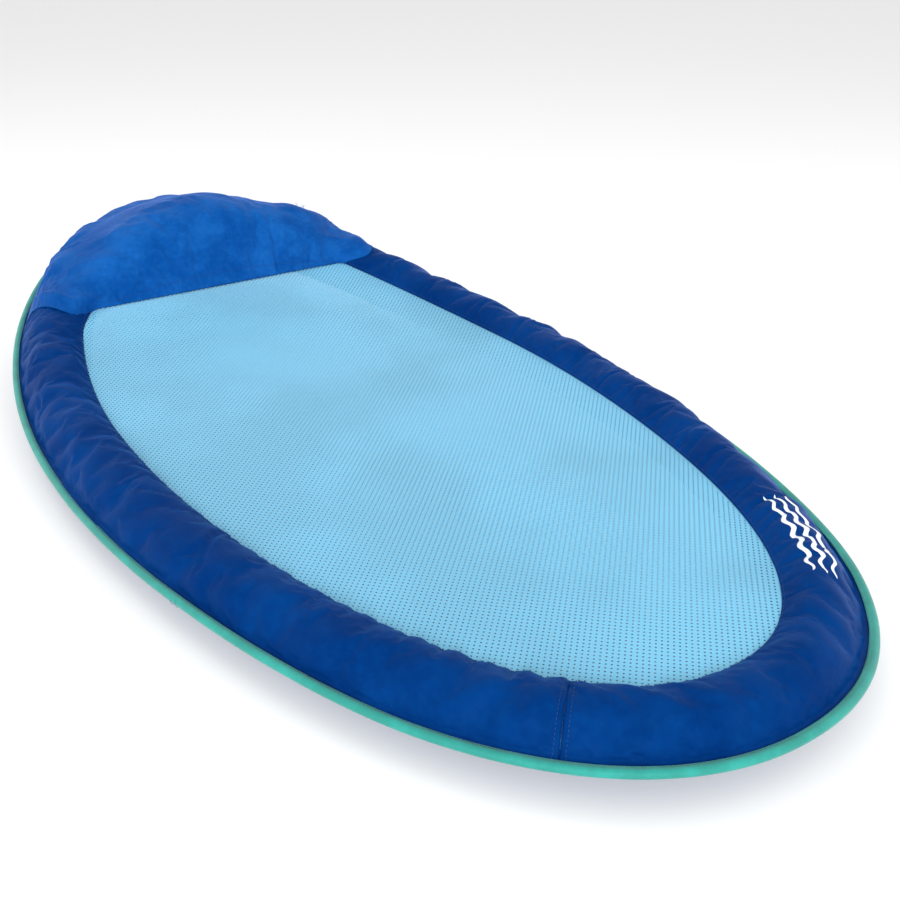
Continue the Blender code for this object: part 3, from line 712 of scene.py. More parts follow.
def grid_mesh(name, points, u=None, v=None, closed_rows=False, closed_sections=False):
    """A mesh through a grid of points, with its flat map as UV in metres."""
    rows, columns = points.shape[:2]
    row_ends = rows if closed_rows else rows - 1
    column_ends = columns if closed_sections else columns - 1
    i, j = np.meshgrid(np.arange(row_ends), np.arange(column_ends), indexing="ij")
    k, m = (i + 1) % rows, (j + 1) % columns
    faces = np.stack([i * columns + j, k * columns + j, k * columns + m, i * columns + m], -1).reshape(-1, 4)
    mesh = bpy.data.meshes.new(name)
    mesh.vertices.add(rows * columns)
    mesh.vertices.foreach_set("co", points.reshape(-1).astype(np.float32))
    mesh.loops.add(faces.size)
    mesh.loops.foreach_set("vertex_index", faces.reshape(-1).astype(np.int32))
    mesh.polygons.add(len(faces))
    mesh.polygons.foreach_set("loop_start", np.arange(0, faces.size, 4, dtype=np.int32))
    mesh.update(calc_edges=True)
    if u is not None:
        layer = mesh.uv_layers.new(name="cloth")
        flat = np.stack([u.reshape(-1)[faces.reshape(-1)], v.reshape(-1)[faces.reshape(-1)]], -1)
        layer.data.foreach_set("uv", flat.reshape(-1).astype(np.float32))
    mesh.validate()
    mesh.shade_smooth()
    return mesh


def face_outwards(mesh, up):
    """Turns an open sheet so that most of it looks up, or down."""
    count = len(mesh.polygons)
    normals = np.zeros(count * 3, np.float32)
    areas = np.zeros(count, np.float32)
    mesh.polygons.foreach_get("normal", normals)
    mesh.polygons.foreach_get("area", areas)
    if ((normals.reshape(-1, 3)[:, 2] * areas).sum() > 0) != up:
        mesh.flip_normals()


def turn_out(mesh):
    """Turns a closed shape's faces outwards."""
    build = bmesh.new()
    build.from_mesh(mesh)
    if build.calc_volume(signed=True) < 0:
        bmesh.ops.reverse_faces(build, faces=build.faces)
    build.to_mesh(mesh)
    build.free()


WELD_GAP = 0.00002  # points closer than this become one
SHORTEST_EDGE = 0.00001


def close_cushion(mesh):
    """Welds a cushion's two sides along their seam and turns the faces outwards."""
    build = bmesh.new()
    build.from_mesh(mesh)
    bmesh.ops.remove_doubles(build, verts=build.verts, dist=WELD_GAP)
    bmesh.ops.dissolve_degenerate(build, edges=build.edges, dist=SHORTEST_EDGE)
    bmesh.ops.holes_fill(build, edges=[e for e in build.edges if e.is_boundary], sides=0)
    bmesh.ops.recalc_face_normals(build, faces=build.faces)
    build.to_mesh(mesh)
    build.free()
    turn_out(mesh)
    mesh.shade_smooth()


def add_piece(name, mesh, material):
    piece = bpy.data.objects.new(name, mesh)
    bpy.context.scene.collection.objects.link(piece)
    mesh.materials.append(material)
    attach(piece, "root")
    return piece


def thicken(piece, thickness, offset):
    wall = piece.modifiers.new("Cloth thickness", "SOLIDIFY")
    wall.thickness = thickness
    wall.offset = offset
    wall.use_even_offset = False
    return wall


def panel_distances(side):
    """Distances round the ring across one panel, with a thread's gap at each seam."""
    first, last = (distance_at(a) for a in PANELS[side])
    count = round((last - first) / settings().ring.spacing)
    return np.linspace(first + THREAD_GAP, last - THREAD_GAP, count + 1)


# ---------------------------------------------------------------- materials


class Writer:
    """A short way to write the nodes of a tree."""

    def __init__(self, tree):
        self.tree = tree

    def feed(self, socket, value):
        if isinstance(value, bpy.types.NodeSocket):
            self.tree.links.new(value, socket)
        else:
            socket.default_value = value

    def add(self, kind, inputs=None, **values):
        node = self.tree.nodes.new(kind)
        for key, value in values.items():
            setattr(node, key, value)
        for key, value in (inputs or {}).items():
            self.feed(node.inputs[key], value)
        return node

    def math(self, operation, first, second):
        return self.add("ShaderNodeMath", {0: first, 1: second}, operation=operation).outputs[0]


class Paint(Writer):
    """A material and its nodes."""

    def __init__(self, name):
        self.material = bpy.data.materials.new(name)
        self.material.use_nodes = True
        super().__init__(self.material.node_tree)
        self.shader = self.tree.nodes["Principled BSDF"]

    def mix(self, factor, first, second):
        inputs = {0: factor, 6: first, 7: second}
        return self.add("ShaderNodeMix", inputs, data_type="RGBA").outputs[2]

    def noise(self, vector, scale, detail=2.0, roughness=0.5):
        inputs = {"Vector": vector, "Scale": scale, "Detail": detail, "Roughness": roughness}
        return self.add("ShaderNodeTexNoise", inputs).outputs["Fac"]

    def ramp(self, value, low, high):
        inputs = {"Value": value, "From Min": low, "From Max": high}
        return self.add("ShaderNodeMapRange", inputs, interpolation_type="SMOOTHSTEP").outputs[0]

    def wave(self, vector, scale, direction):
        inputs = {"Vector": vector, "Scale": scale, "Distortion": 0.0}
        return self.add("ShaderNodeTexWave", inputs, bands_direction=direction).outputs["Fac"]

    def bump(self, height, strength, distance, normal=None):
        inputs = {"Height": height, "Strength": strength, "Distance": distance}
        if normal is not None:
            inputs["Normal"] = normal
        return self.add("ShaderNodeBump", inputs).outputs["Normal"]

    def set(self, **values):
        for key, value in values.items():
            self.feed(self.shader.inputs[key.replace("_", " ")], value)
        return self.material

    def object_place(self):
        return self.add("ShaderNodeTexCoord").outputs["Object"]

    def cloth_place(self):
        return self.add("ShaderNodeUVMap", uv_map="cloth").outputs[0]


def rgba(value, gain=1.0):
    return (*(min(1.0, c * gain) for c in value), 1.0)


THREADS_SCALE = 260.0  # scale of the weave's wave texture, on the cloth's flat map
SHEEN_TINT = (0.01, 0.22, 1.0)
GLOSS_TINT = (0.10, 0.40, 1.0)


def woven(name, dark, light, rough=0.44, sheen=0.22, patches=9.0):
    """Thin woven polyester: soft patches of tone, small creases and a fine plain weave."""
    nodes = Paint(name)
    spot = nodes.object_place()
    cloth = nodes.cloth_place()
    patch = nodes.ramp(nodes.noise(spot, patches, 4.0, 0.6), 0.38, 0.66)
    grain = nodes.ramp(nodes.noise(spot, patches * 9, 3.0, 0.6), 0.40, 0.72)
    tone = nodes.math("ADD", nodes.math("MULTIPLY", patch, 0.70), nodes.math("MULTIPLY", grain, 0.30))
    base = nodes.mix(tone, rgba(dark), rgba(light))
    warp = nodes.wave(cloth, THREADS_SCALE, "X")
    weft = nodes.wave(cloth, THREADS_SCALE, "Y")
    threads = nodes.math("MULTIPLY", warp, weft)
    creases = nodes.noise(spot, 34.0, 5.0, 0.62)
    soft = nodes.bump(creases, 0.35, 0.004)
    fine = nodes.bump(threads, 0.12, 0.0003, soft)
    roughness = nodes.math("ADD", nodes.math("MULTIPLY", grain, 0.12), rough - 0.06)
    nodes.set(Base_Color=base, Roughness=roughness, Normal=fine)
    nodes.set(Sheen_Weight=sheen, Sheen_Roughness=0.35, Sheen_Tint=rgba(SHEEN_TINT))
    return nodes.set(Specular_IOR_Level=0.45, Specular_Tint=rgba(GLOSS_TINT), IOR=1.12)


def binding_material():
    """Ribbed edge tape."""
    look = settings().finish
    nodes = Paint("edge_tape")
    spot = nodes.object_place()
    cloth = nodes.cloth_place()
    tone = nodes.ramp(nodes.noise(spot, 30.0, 4.0, 0.6), 0.35, 0.70)
    ribs = nodes.wave(cloth, 320.0, "X")
    base = nodes.mix(tone, rgba(look.binding, 0.88), rgba(look.binding, 1.15))
    normal = nodes.bump(ribs, 0.35, 0.0003)
    return nodes.set(Base_Color=base, Roughness=0.62, Normal=normal, Sheen_Weight=0.2, Specular_IOR_Level=0.3)


def mesh_material():
    """Pale knitted thread, in soft random patches of lighter and darker tone."""
    look = settings().finish
    nodes = Paint("seat_knit")
    spot = nodes.object_place()
    tone = nodes.ramp(nodes.noise(spot, 5.0, 2.0, 0.5), 0.35, 0.68)
    thread = nodes.noise(spot, 900.0, 2.0, 0.5)
    base = nodes.mix(tone, rgba(look.mesh, 0.93), rgba(look.mesh, 1.06))
    normal = nodes.bump(thread, 0.3, 0.0003)
    nodes.set(Base_Color=base, Roughness=0.55, Normal=normal)
    return nodes.set(Sheen_Weight=0.15, Specular_IOR_Level=0.35)


def thread_material(name, value):
    nodes = Paint(name)
    spot = nodes.object_place()
    strands = nodes.noise(spot, 1400.0, 2.0, 0.5)
    base = nodes.mix(strands, rgba(value, 0.75), rgba(value, 1.25))
    return nodes.set(Base_Color=base, Roughness=0.6, Normal=nodes.bump(strands, 0.4, 0.0002))


def moulded(name, value, rough=0.35, alpha=1.0):
    """Soft moulded plastic or rubber with a slightly uneven gloss."""
    nodes = Paint(name)
    spot = nodes.object_place()
    cloudy = nodes.noise(spot, 160.0, 3.0, 0.5)
    base = nodes.mix(cloudy, rgba(value, 0.92), rgba(value, 1.06))
    roughness = nodes.math("ADD", nodes.math("MULTIPLY", cloudy, 0.15), rough - 0.07)
    normal = nodes.bump(nodes.noise(spot, 700.0, 2.0, 0.5), 0.15, 0.0002)
    return nodes.set(Base_Color=base, Roughness=roughness, Normal=normal, Alpha=alpha)


def drawn_metal(name, value, rough=0.3):
    """Drawn wire or tube, with fine marks."""
    nodes = Paint(name)
    spot = nodes.object_place()
    marks = nodes.noise(spot, 500.0, 3.0, 0.6)
    base = nodes.mix(marks, rgba(value, 0.85), rgba(value, 1.1))
    roughness = nodes.math("ADD", nodes.math("MULTIPLY", marks, 0.2), rough - 0.1)
    return nodes.set(Base_Color=base, Roughness=roughness, Metallic=1.0)


@functools.lru_cache(maxsize=None)
def finishes():
    """Every material, by a plain name."""
    look = settings().finish
    return {
        "cover": woven("ring_cloth", look.cover, look.cover_lighter_patches),
        # The headrest's cloth is the ring's cloth painted lighter, standing in for the light on the pillow's
        # front face.
        "headrest": woven("headrest_cloth_painted_lighter", look.headrest, look.headrest_painted_lighter, patches=13.0, sheen=0.25),
        "binding": binding_material(),
        "mesh": mesh_material(),
        "dark_thread": thread_material("navy_thread", (0.004, 0.035, 0.16)),
        "teal_thread": thread_material("teal_thread", (0.015, 0.22, 0.19)),
        "ink": moulded("print_ink", look.ink, 0.5),
        "film": moulded("bladder_film", (0.62, 0.70, 0.76), 0.25),
        "plastic": moulded("valve_plastic", (0.78, 0.80, 0.82)),
        "rubber": moulded("valve_rubber", (0.05, 0.055, 0.06), 0.7),
        "steel": drawn_metal("spring_steel", (0.56, 0.57, 0.59)),
        "ferrule": drawn_metal("ferrule_metal", (0.72, 0.50, 0.23)),
    }


# ---------------------------------------------------------------- node trees


def new_tree(name, inputs):
    """A Geometry Nodes tree with named inputs; returns it with its group input and output nodes."""
    tree = bpy.data.node_groups.new(name, "GeometryNodeTree")
    tree.interface.new_socket("Geometry", in_out="INPUT", socket_type="NodeSocketGeometry")
    for label, kind in inputs:
        tree.interface.new_socket(label, in_out="INPUT", socket_type=kind)
    tree.interface.new_socket("Geometry", in_out="OUTPUT", socket_type="NodeSocketGeometry")
    return tree, tree.nodes.new("NodeGroupInput"), tree.nodes.new("NodeGroupOutput")


def run_tree(piece, tree, values):
    """Runs a tree on a piece and puts the plain result in its place."""
    work = piece.modifiers.new(tree.name, "NODES")
    work.node_group = tree
    for socket in tree.interface.items_tree:
        if socket.item_type == "SOCKET" and socket.in_out == "INPUT" and socket.name in values:
            work[socket.identifier] = values[socket.name]
    graph = bpy.context.evaluated_depsgraph_get()
    result = bpy.data.meshes.new_from_object(piece.evaluated_get(graph), depsgraph=graph)
    piece.modifiers.remove(work)
    old, piece.data = piece.data, result
    bpy.data.meshes.remove(old)
    return piece


class TreeWriter(Writer):
    """A Geometry Nodes tree with places to split and join."""

    def xyz(self, vector):
        return self.add("ShaderNodeSeparateXYZ", {0: vector}).outputs

    def join_xyz(self, x, y, z):
        return self.add("ShaderNodeCombineXYZ", {0: x, 1: y, 2: z}).outputs[0]

    def flat(self, vector):
        x, y, _ = self.xyz(vector)
        return self.join_xyz(x, y, 0.0)


@functools.lru_cache(maxsize=None)
def stitch_tree():
    """Stitches laid end to end along a line of edges."""
    kinds = [
        ("Pitch", "NodeSocketFloat"),
        ("Length", "NodeSocketFloat"),
        ("Thickness", "NodeSocketFloat"),
        ("Thread", "NodeSocketMaterial"),
    ]
    tree, source, sink = new_tree("Stitch row", kinds)
    wire = TreeWriter(tree)
    given = source.outputs
    line = wire.add("GeometryNodeMeshToCurve", {"Mesh": given["Geometry"]}).outputs["Curve"]
    points = wire.add("GeometryNodeCurveToPoints", {"Curve": line, "Length": given["Pitch"]}, mode="LENGTH")
    ball = wire.add("GeometryNodeMeshUVSphere", {"Segments": 6, "Rings": 4, "Radius": 0.5})
    inputs = {
        "Points": points.outputs["Points"],
        "Rotation": points.outputs["Rotation"],
        "Instance": ball.outputs["Mesh"],
        "Scale": wire.join_xyz(given["Thickness"], given["Thickness"], given["Length"]),
    }
    spread = wire.add("GeometryNodeInstanceOnPoints", inputs).outputs["Instances"]
    solid = wire.add("GeometryNodeRealizeInstances", {"Geometry": spread}).outputs["Geometry"]
    inputs = {"Geometry": solid, "Material": given["Thread"]}
    wire.feed(sink.inputs["Geometry"], wire.add("GeometryNodeSetMaterial", inputs).outputs["Geometry"])
    return tree


def path_mesh(name, paths):
    """Lines of edges, one for each list of points."""
    points, edges = [], []
    for path in paths:
        first = len(points)
        points += [tuple(p) for p in path]
        edges += [(first + i, first + i + 1) for i in range(len(path) - 1)]
    mesh = bpy.data.meshes.new(name)
    mesh.from_pydata(points, edges, [])
    return mesh


def add_stitches(name, paths, thread):
    piece = bpy.data.objects.new(name, path_mesh(name, paths))
    bpy.context.scene.collection.objects.link(piece)
    values = {
        "Pitch": settings().stitches.pitch,
        "Length": settings().stitches.length,
        "Thickness": settings().stitches.thickness,
        "Thread": finishes()[thread],
    }
    run_tree(piece, stitch_tree(), values)
    piece.data.shade_smooth()
    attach(piece, "root")
    return piece


# ---------------------------------------------------------------- operators


class FLOAT_OT_ring_covers(Operator):
    """Sews the eight cover panels of the ring, each with its wrinkles and puckered seams"""

    bl_idname = "pool_float.ring_covers"
    bl_label = "Ring covers"

    def execute(self, context):
        for side in PANELS:
            for half, top in (("top", True), ("bottom", False)):
                name = f"cover_{half}_{side}"
                points, u, v = panel_surface(side, top)
                mesh = grid_mesh(f"{name}_cloth", points, u, v)
                face_outwards(mesh, top)
                piece = add_piece(f"{name}_cloth", mesh, finishes()["cover"])
                thicken(piece, settings().ring.cloth, -1)
                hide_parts(name)
        return {"FINISHED"}


SLEEVE_STEP = 0.006  # between the sections of the binding round the edge
SLEEVE_WAVES = (0.00045, 0.03, 0.12)  # height and wavelengths of the tape's own ripples
DRIFT_WAVES = (0.0007, 0.12, 0.5)  # of the whole edge, up and down
POCKET_RIPPLE = 0.3  # share of the ripples that the hoop's pocket shows
SIDE_RIPPLE = 0.4  # share that moves the tape in and out
LIP_RIPPLE = 0.5  # share that lifts its lips
RIPPLE_SCALE = 3  # squeezes the ripples across the tape
LIP_MIDDLE = 0.10  # share of the flange from a lip's edge to its middle
LIP_BULGE = 0.0001  # how far a lip's middle stands over its edge
POCKET_TURN = 120  # degrees to each side that the tape goes round the hoop
POCKET_STEPS = (20, 30)  # degrees between points, outside and inside
HOOP_STEP = 45  # degrees between the points of the wire's section


def edge_drift(distances):
    """How far the sewn edge waves up and down round the ring."""
    wobble = Relief(DRIFT_SEED, perimeter())
    wobble.add_waves(*DRIFT_WAVES)
    return wobble.waves_at(distances[:, None], np.zeros((len(distances), 1)))[:, 0]


class FLOAT_OT_edge_sleeve(Operator):
    """Folds the binding tape round the outer edge and puts the hoop in it"""

    bl_idname = "pool_float.edge_sleeve"
    bl_label = "Edge sleeve and hoop"

    def execute(self, context):
        count = round(perimeter() / SLEEVE_STEP)
        distances = np.linspace(0, perimeter(), count, endpoint=False)
        relief = Relief(SLEEVE_SEED, perimeter())
        relief.add_waves(*SLEEVE_WAVES)
        section, travel = self.section()
        points = np.zeros((count, len(section), 3))
        angles = angle_at(distances)
        drift = edge_drift(distances)
        for j, (out_share, out, height, lip) in enumerate(section):
            reach = -flange(angles) * out_share + out
            bump = relief.waves_at(distances[:, None], np.full((count, 1), travel[j] * RIPPLE_SCALE))[:, 0]
            ripple = POCKET_RIPPLE + (1 - POCKET_RIPPLE) * lip
            level = flange_height(angles) + height + drift
            points[:, j] = place(angles, reach + bump * ripple * SIDE_RIPPLE, level)
            points[:, j, 2] += bump * lip * math.copysign(1, height or 1) * LIP_RIPPLE
        u = np.broadcast_to(distances[:, None], points.shape[:2])
        v = np.broadcast_to(np.array(travel)[None, :], points.shape[:2])
        mesh = grid_mesh("edge_binding", points, u, v, closed_rows=True, closed_sections=True)
        turn_out(mesh)
        piece = add_piece("edge_binding", mesh, finishes()["binding"])
        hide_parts("edge_sleeve")
        self.add_hoop(angles)
        return {"FINISHED"}

    def section(self):
        """(share of the flange, extra out, height, lip) round the tape, and the travel along it."""
        sleeve = settings().sleeve
        outer, inner = sleeve.radius, sleeve.radius - sleeve.wall
        lip, wall, inset = sleeve.lip, sleeve.wall, sleeve.inset
        reach, middle = sleeve.lip_reach, sleeve.lip_reach - LIP_MIDDLE
        pocket = -LIP_START
        section = [(reach, pocket, lip, 1), (middle, pocket, lip + LIP_BULGE, 1)]
        outside, inside = POCKET_STEPS
        for turn in np.radians(np.arange(POCKET_TURN, -POCKET_TURN - 1, -outside)):
            section.append((0.0, -inset + outer * math.cos(turn), outer * math.sin(turn), 0))
        section += [(middle, pocket, -lip - LIP_BULGE, 1), (reach, pocket, -lip, 1)]
        section += [(reach, pocket, -lip + wall, 1), (middle, pocket, -lip + wall, 1)]
        for turn in np.radians(np.arange(-POCKET_TURN, POCKET_TURN + 1, inside)):
            section.append((0.0, -inset + inner * math.cos(turn), inner * math.sin(turn), 0))
        section += [(middle, pocket, lip - wall, 1), (reach, pocket, lip - wall, 1)]
        flange_width = settings().ring.flange
        flat = [(-flange_width * s + o, h) for s, o, h, _ in section]
        travel = [0.0]
        for a, b in zip(flat, flat[1:]):
            travel.append(travel[-1] + math.dist(a, b))
        return section, travel

    @staticmethod
    def add_hoop(angles):
        """The round spring wire inside the pocket."""
        sleeve = settings().sleeve
        turns = np.radians(np.arange(0, 360, HOOP_STEP))
        points = np.zeros((len(angles), len(turns), 3))
        for j, turn in enumerate(turns):
            out = np.full(len(angles), -sleeve.inset + sleeve.wire * math.cos(turn))
            points[:, j] = place(angles, out, flange_height(angles) + sleeve.wire * math.sin(turn))
        mesh = grid_mesh("hoop_wire", points, closed_rows=True, closed_sections=True)
        turn_out(mesh)
        piece = add_piece("hoop_wire", mesh, finishes()["steel"])
        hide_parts("spring_hoop")


SEAT_TUCK = 0.003  # how far the mesh runs into the seam
SEAT_SAG_MIDDLE = -0.13  # place along the float where the mesh hangs lowest
SEAT_SAG_REACH = 0.60  # from there to where it no longer hangs
SEAT_END = 89.9  # outline angle of the seat's first and last rows, just beside the float's middle line
SEAT_ROWS, SEAT_COLUMNS = 240, 61  # of the smooth sheet that the knit follows
CELL_MARGIN = 0.3  # share of the pitch by which a cell may stand outside the sheet
CELL_WELD = 0.0001  # corners of neighbouring cells closer than this become one


class FLOAT_OT_seat_mesh(Operator):
    """Knits the open mesh of the seat and stretches it across the ring"""

    bl_idname = "pool_float.seat_mesh"
    bl_label = "Seat mesh"

    def execute(self, context):
        seat = settings().seat
        cloth, width, length, middle = self.cloth()
        piece = bpy.data.objects.new("seat_mesh", cloth)
        bpy.context.scene.collection.objects.link(piece)
        rows = 2 * math.ceil(length / 2 / seat.pitch) + 1
        columns = 2 * math.ceil(width / 2 / seat.pitch) + 1
        values = {
            "Pitch": seat.pitch,
            "Opening": seat.opening,
            "Relief": seat.relief,
            "Rows": rows,
            "Columns": columns,
            "Middle": float(middle),
            "Thread": finishes()["mesh"],
        }
        run_tree(piece, self.tree(), values)
        face_outwards(piece.data, True)
        piece.data.shade_smooth()
        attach(piece, "root")
        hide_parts("mesh_panel")
        return {"FINISHED"}

    def cloth(self):
        """The smooth sheet that the knit follows, sewn in round the ring's mesh seam."""
        turn = settings().ring.seam_turn
        right = np.linspace(SEAT_END, -SEAT_END, SEAT_ROWS)
        out, height = tube_point(right, np.full(len(right), turn))
        edge = place(right, out + SEAT_TUCK, height)
        shares = np.linspace(-1, 1, SEAT_COLUMNS)
        points = np.repeat(edge[:, None, :], len(shares), 1)
        points[..., 0] *= shares
        open_y = (points[..., 1] - SEAT_SAG_MIDDLE) / SEAT_SAG_REACH
        points[..., 2] -= settings().seat.sag * (1 - shares**2) * np.clip(1 - open_y**2, 0, None)
        head, foot = edge[0, 1], edge[-1, 1]
        return grid_mesh("seat_cloth", points), 2 * edge[:, 0].max(), head - foot, (head + foot) / 2

    @staticmethod
    def tree():
        """Cells of the knit on a staggered grid, laid on the cloth and drawn in at its edge."""
        kinds = [
            ("Pitch", "NodeSocketFloat"),
            ("Opening", "NodeSocketFloat"),
            ("Relief", "NodeSocketFloat"),
            ("Rows", "NodeSocketInt"),
            ("Columns", "NodeSocketInt"),
            ("Middle", "NodeSocketFloat"),
            ("Thread", "NodeSocketMaterial"),
        ]
        tree, source, sink = new_tree("Knitted mesh", kinds)
        wire = TreeWriter(tree)
        pitch = source.outputs["Pitch"]

        height = wire.xyz(wire.add("GeometryNodeInputPosition").outputs[0])[2]
        inputs = {"Geometry": source.outputs["Geometry"], "Name": "height", "Value": height}
        store = wire.add("GeometryNodeStoreNamedAttribute", inputs)
        flat_place = wire.flat(wire.add("GeometryNodeInputPosition").outputs[0])
        inputs = {"Geometry": store.outputs[0], "Position": flat_place}
        flat = wire.add("GeometryNodeSetPosition", inputs).outputs[0]

        half = wire.math("MULTIPLY", pitch, 0.5)
        inputs = {"Vertices": 4, "Radius": half}
        circle = wire.add("GeometryNodeMeshCircle", inputs, fill_type="NGON").outputs[0]
        drop = wire.math("MULTIPLY", source.outputs["Relief"], -1.0)
        extrude = wire.add("GeometryNodeExtrudeMesh", {"Mesh": circle, "Offset Scale": drop})
        lid = extrude.outputs["Top"]
        inputs = {"Geometry": extrude.outputs["Mesh"], "Selection": lid, "Scale": source.outputs["Opening"]}
        inset = wire.add("GeometryNodeScaleElements", inputs).outputs[0]
        inputs = {"Geometry": inset, "Selection": lid}
        cell = wire.add("GeometryNodeDeleteGeometry", inputs, domain="FACE").outputs[0]

        grids = []
        for less in (0.0, 1.0):
            columns = wire.math("SUBTRACT", source.outputs["Columns"], less)
            rows = wire.math("SUBTRACT", source.outputs["Rows"], less)
            wide = wire.math("MULTIPLY", wire.math("SUBTRACT", columns, 1.0), pitch)
            tall = wire.math("MULTIPLY", wire.math("SUBTRACT", rows, 1.0), pitch)
            inputs = {"Size X": wide, "Size Y": tall, "Vertices X": columns, "Vertices Y": rows}
            grid = wire.add("GeometryNodeMeshGrid", inputs).outputs[0]
            move = wire.join_xyz(0.0, source.outputs["Middle"], 0.0)
            inputs = {"Geometry": grid, "Translation": move}
            grids.append(wire.add("GeometryNodeTransform", inputs).outputs[0])
        both = wire.add("GeometryNodeJoinGeometry")
        for grid in grids:
            tree.links.new(grid, both.inputs[0])
        points = wire.add("GeometryNodeMeshToPoints", {"Mesh": both.outputs[0]}).outputs[0]
        inputs = {"Geometry": flat}
        away = wire.add("GeometryNodeProximity", inputs, target_element="FACES").outputs["Distance"]
        inputs = {0: away, 1: wire.math("MULTIPLY", pitch, CELL_MARGIN)}
        far = wire.add("FunctionNodeCompare", inputs, operation="GREATER_THAN").outputs[0]
        inputs = {"Geometry": points, "Selection": far}
        kept = wire.add("GeometryNodeDeleteGeometry", inputs, domain="POINT").outputs[0]
        spread = wire.add("GeometryNodeInstanceOnPoints", {"Points": kept, "Instance": cell}).outputs[0]
        solid = wire.add("GeometryNodeRealizeInstances", {"Geometry": spread}).outputs[0]
        knit = wire.add("GeometryNodeMergeByDistance", {"Geometry": solid, "Distance": CELL_WELD}).outputs[0]

        here = wire.add("GeometryNodeInputPosition").outputs[0]
        plan = wire.flat(here)
        inputs = {"Geometry": flat, "Sample Position": plan}
        near = wire.add("GeometryNodeProximity", inputs, target_element="FACES").outputs["Position"]
        stored = wire.add("GeometryNodeInputNamedAttribute", {"Name": "height"}).outputs["Attribute"]
        inputs = {"Mesh": flat, "Value": stored, "Sample Position": plan}
        level = wire.add("GeometryNodeSampleNearestSurface", inputs).outputs["Value"]
        near_x, near_y, _ = wire.xyz(near)
        own = wire.xyz(here)[2]
        final = wire.join_xyz(near_x, near_y, wire.math("ADD", level, own))
        laid = wire.add("GeometryNodeSetPosition", {"Geometry": knit, "Position": final}).outputs[0]
        inputs = {"Geometry": laid, "Material": source.outputs["Thread"]}
        painted = wire.add("GeometryNodeSetMaterial", inputs).outputs[0]
        tree.links.new(painted, sink.inputs["Geometry"])
        return tree


# ---------------------------------------------------------------- headrest


HEADREST_ACROSS = 180  # rows of the pillow's grid, from its right end to its left
HEADREST_ALONG = 126  # points in a row, from the front seam to the back one
# (share of the way back, share of the crest's height) along the middle of the headrest
HEADREST_PROFILE = (
    (0.0, 0.0),
    (0.04, 0.23),
    (0.10, 0.52),
    (0.16, 0.78),
    (0.20, 0.90),
    (0.25, 0.97),
    (0.33, 1.0),
    (0.45, 0.95),
    (0.60, 0.74),
    (0.72, 0.46),
    (0.82, 0.20),
    (0.92, 0.03),
    (1.0, 0.0),
)
VALVE_SPOT = (0.220922, 0.607799, 0.1990)  # where the headrest valve's axis leaves the cloth
VALVE_SLOPE = (-0.506, -0.104)  # rise of the cloth there, square to the axis, across and along the float
HEADREST_WELL = 0.016  # how far the cloth makes room for the headrest's valve
HEADREST_WELL_RADIUS = 0.0092  # of the hole round the valve
HEADREST_BRIDGE = 0.9  # share of a hollow that the tight cloth spans
HEADREST_SPAN = 0.57  # length of the upper cloth's flat map, from end to end
HEADREST_RIM = 0.05  # share of the plan over which the pillow rises from its front and back seams
HEADREST_END_RIM = 0.16  # and from its two ends
HEADREST_BLEND = 0.02  # how softly the pillow's curve meets the ring under it
SEAM_LEVEL = 0.0006  # of the seam over the lower cloth
BOW_END = 0.10  # share of the headrest's length that bows, at each end
VALVE_CALM = 0.022  # radius round the valve where the cloth has no wrinkles
VALVE_FLAT = 0.030  # radius where it lies square to the valve
VALVE_RISE = 0.060  # radius where it comes up to the valve
PROFILE_STEP = 0.001  # between samples of the profile
PROFILE_ROUNDING = 61  # samples of the profile that are averaged to round its corners


def mesh_height(y):
    """Height of the seat mesh at places along the float."""
    right = np.linspace(90, -90, 721)
    out, height = tube_point(right, np.full(len(right), settings().ring.seam_turn))
    edge = place(right, out, height)
    return np.interp(y, edge[::-1, 1], edge[::-1, 2])


def ring_top(x, y):
    """Height of the ring's top, or of the mesh inside it, over places in the head half."""
    ring = settings().ring
    angles = np.arange(0, 180.1, 0.5)
    edge = outline(angles)
    gaps = np.hypot(x[..., None] - edge[:, 0], y[..., None] - edge[:, 1])
    nearest = gaps.argmin(-1)
    gap, angle = gaps.min(-1), angles[nearest]
    half_width, half_height = tube_width(angle) / 2, tube_height(angle) / 2
    across = (flange(angle) + half_width - gap) / half_width
    dome = half_height * (1 + np.clip(1 - across**2, 0, None) ** 0.75) - ring.flattening + lift(angle)
    mesh = mesh_height(y)
    inside = across < math.cos(ring.seam_turn)
    edge_height = lift(angle) + flange_height(angle)
    over_tube = np.where(across < 0, np.maximum(dome, mesh), dome)
    return np.where(across > 1, edge_height, np.where(inside, mesh, over_tube))


def headrest_plan():
    """(x, y) of the headrest's grid, from its right end to its left and from the front seam back."""
    head = settings().headrest
    side = np.linspace(0, 1, HEADREST_ACROSS)
    first, last = PANELS["head"]
    angles = first + (last - first) * side
    front_x = head.half_front * (1 - 2 * side) + head.front_shift * side
    front = np.stack([front_x, np.full(len(side), head.front_y)], -1)
    back = outline(angles) - outward(angles) * (flange(angles) + head.back_inset)[:, None]
    step = np.linspace(0, 1, HEADREST_ALONG)
    depth = 1 - (1 - step) ** head.crowding
    plan = front[:, None, :] * (1 - depth)[None, :, None] + back[:, None, :] * depth[None, :, None]
    near_end = np.exp(-((side / BOW_END) ** 2)) + np.exp(-(((1 - side) / BOW_END) ** 2))
    plan[..., 1] -= head.bow * near_end[:, None] * (np.sin(math.pi * depth**1.3) ** 1.7)[None, :]
    return side, depth, plan


def soft_max(first, second, width):
    gap = np.abs(first - second)
    return np.maximum(first, second) + np.clip(width - gap, 0, None) ** 2 / (4 * width)


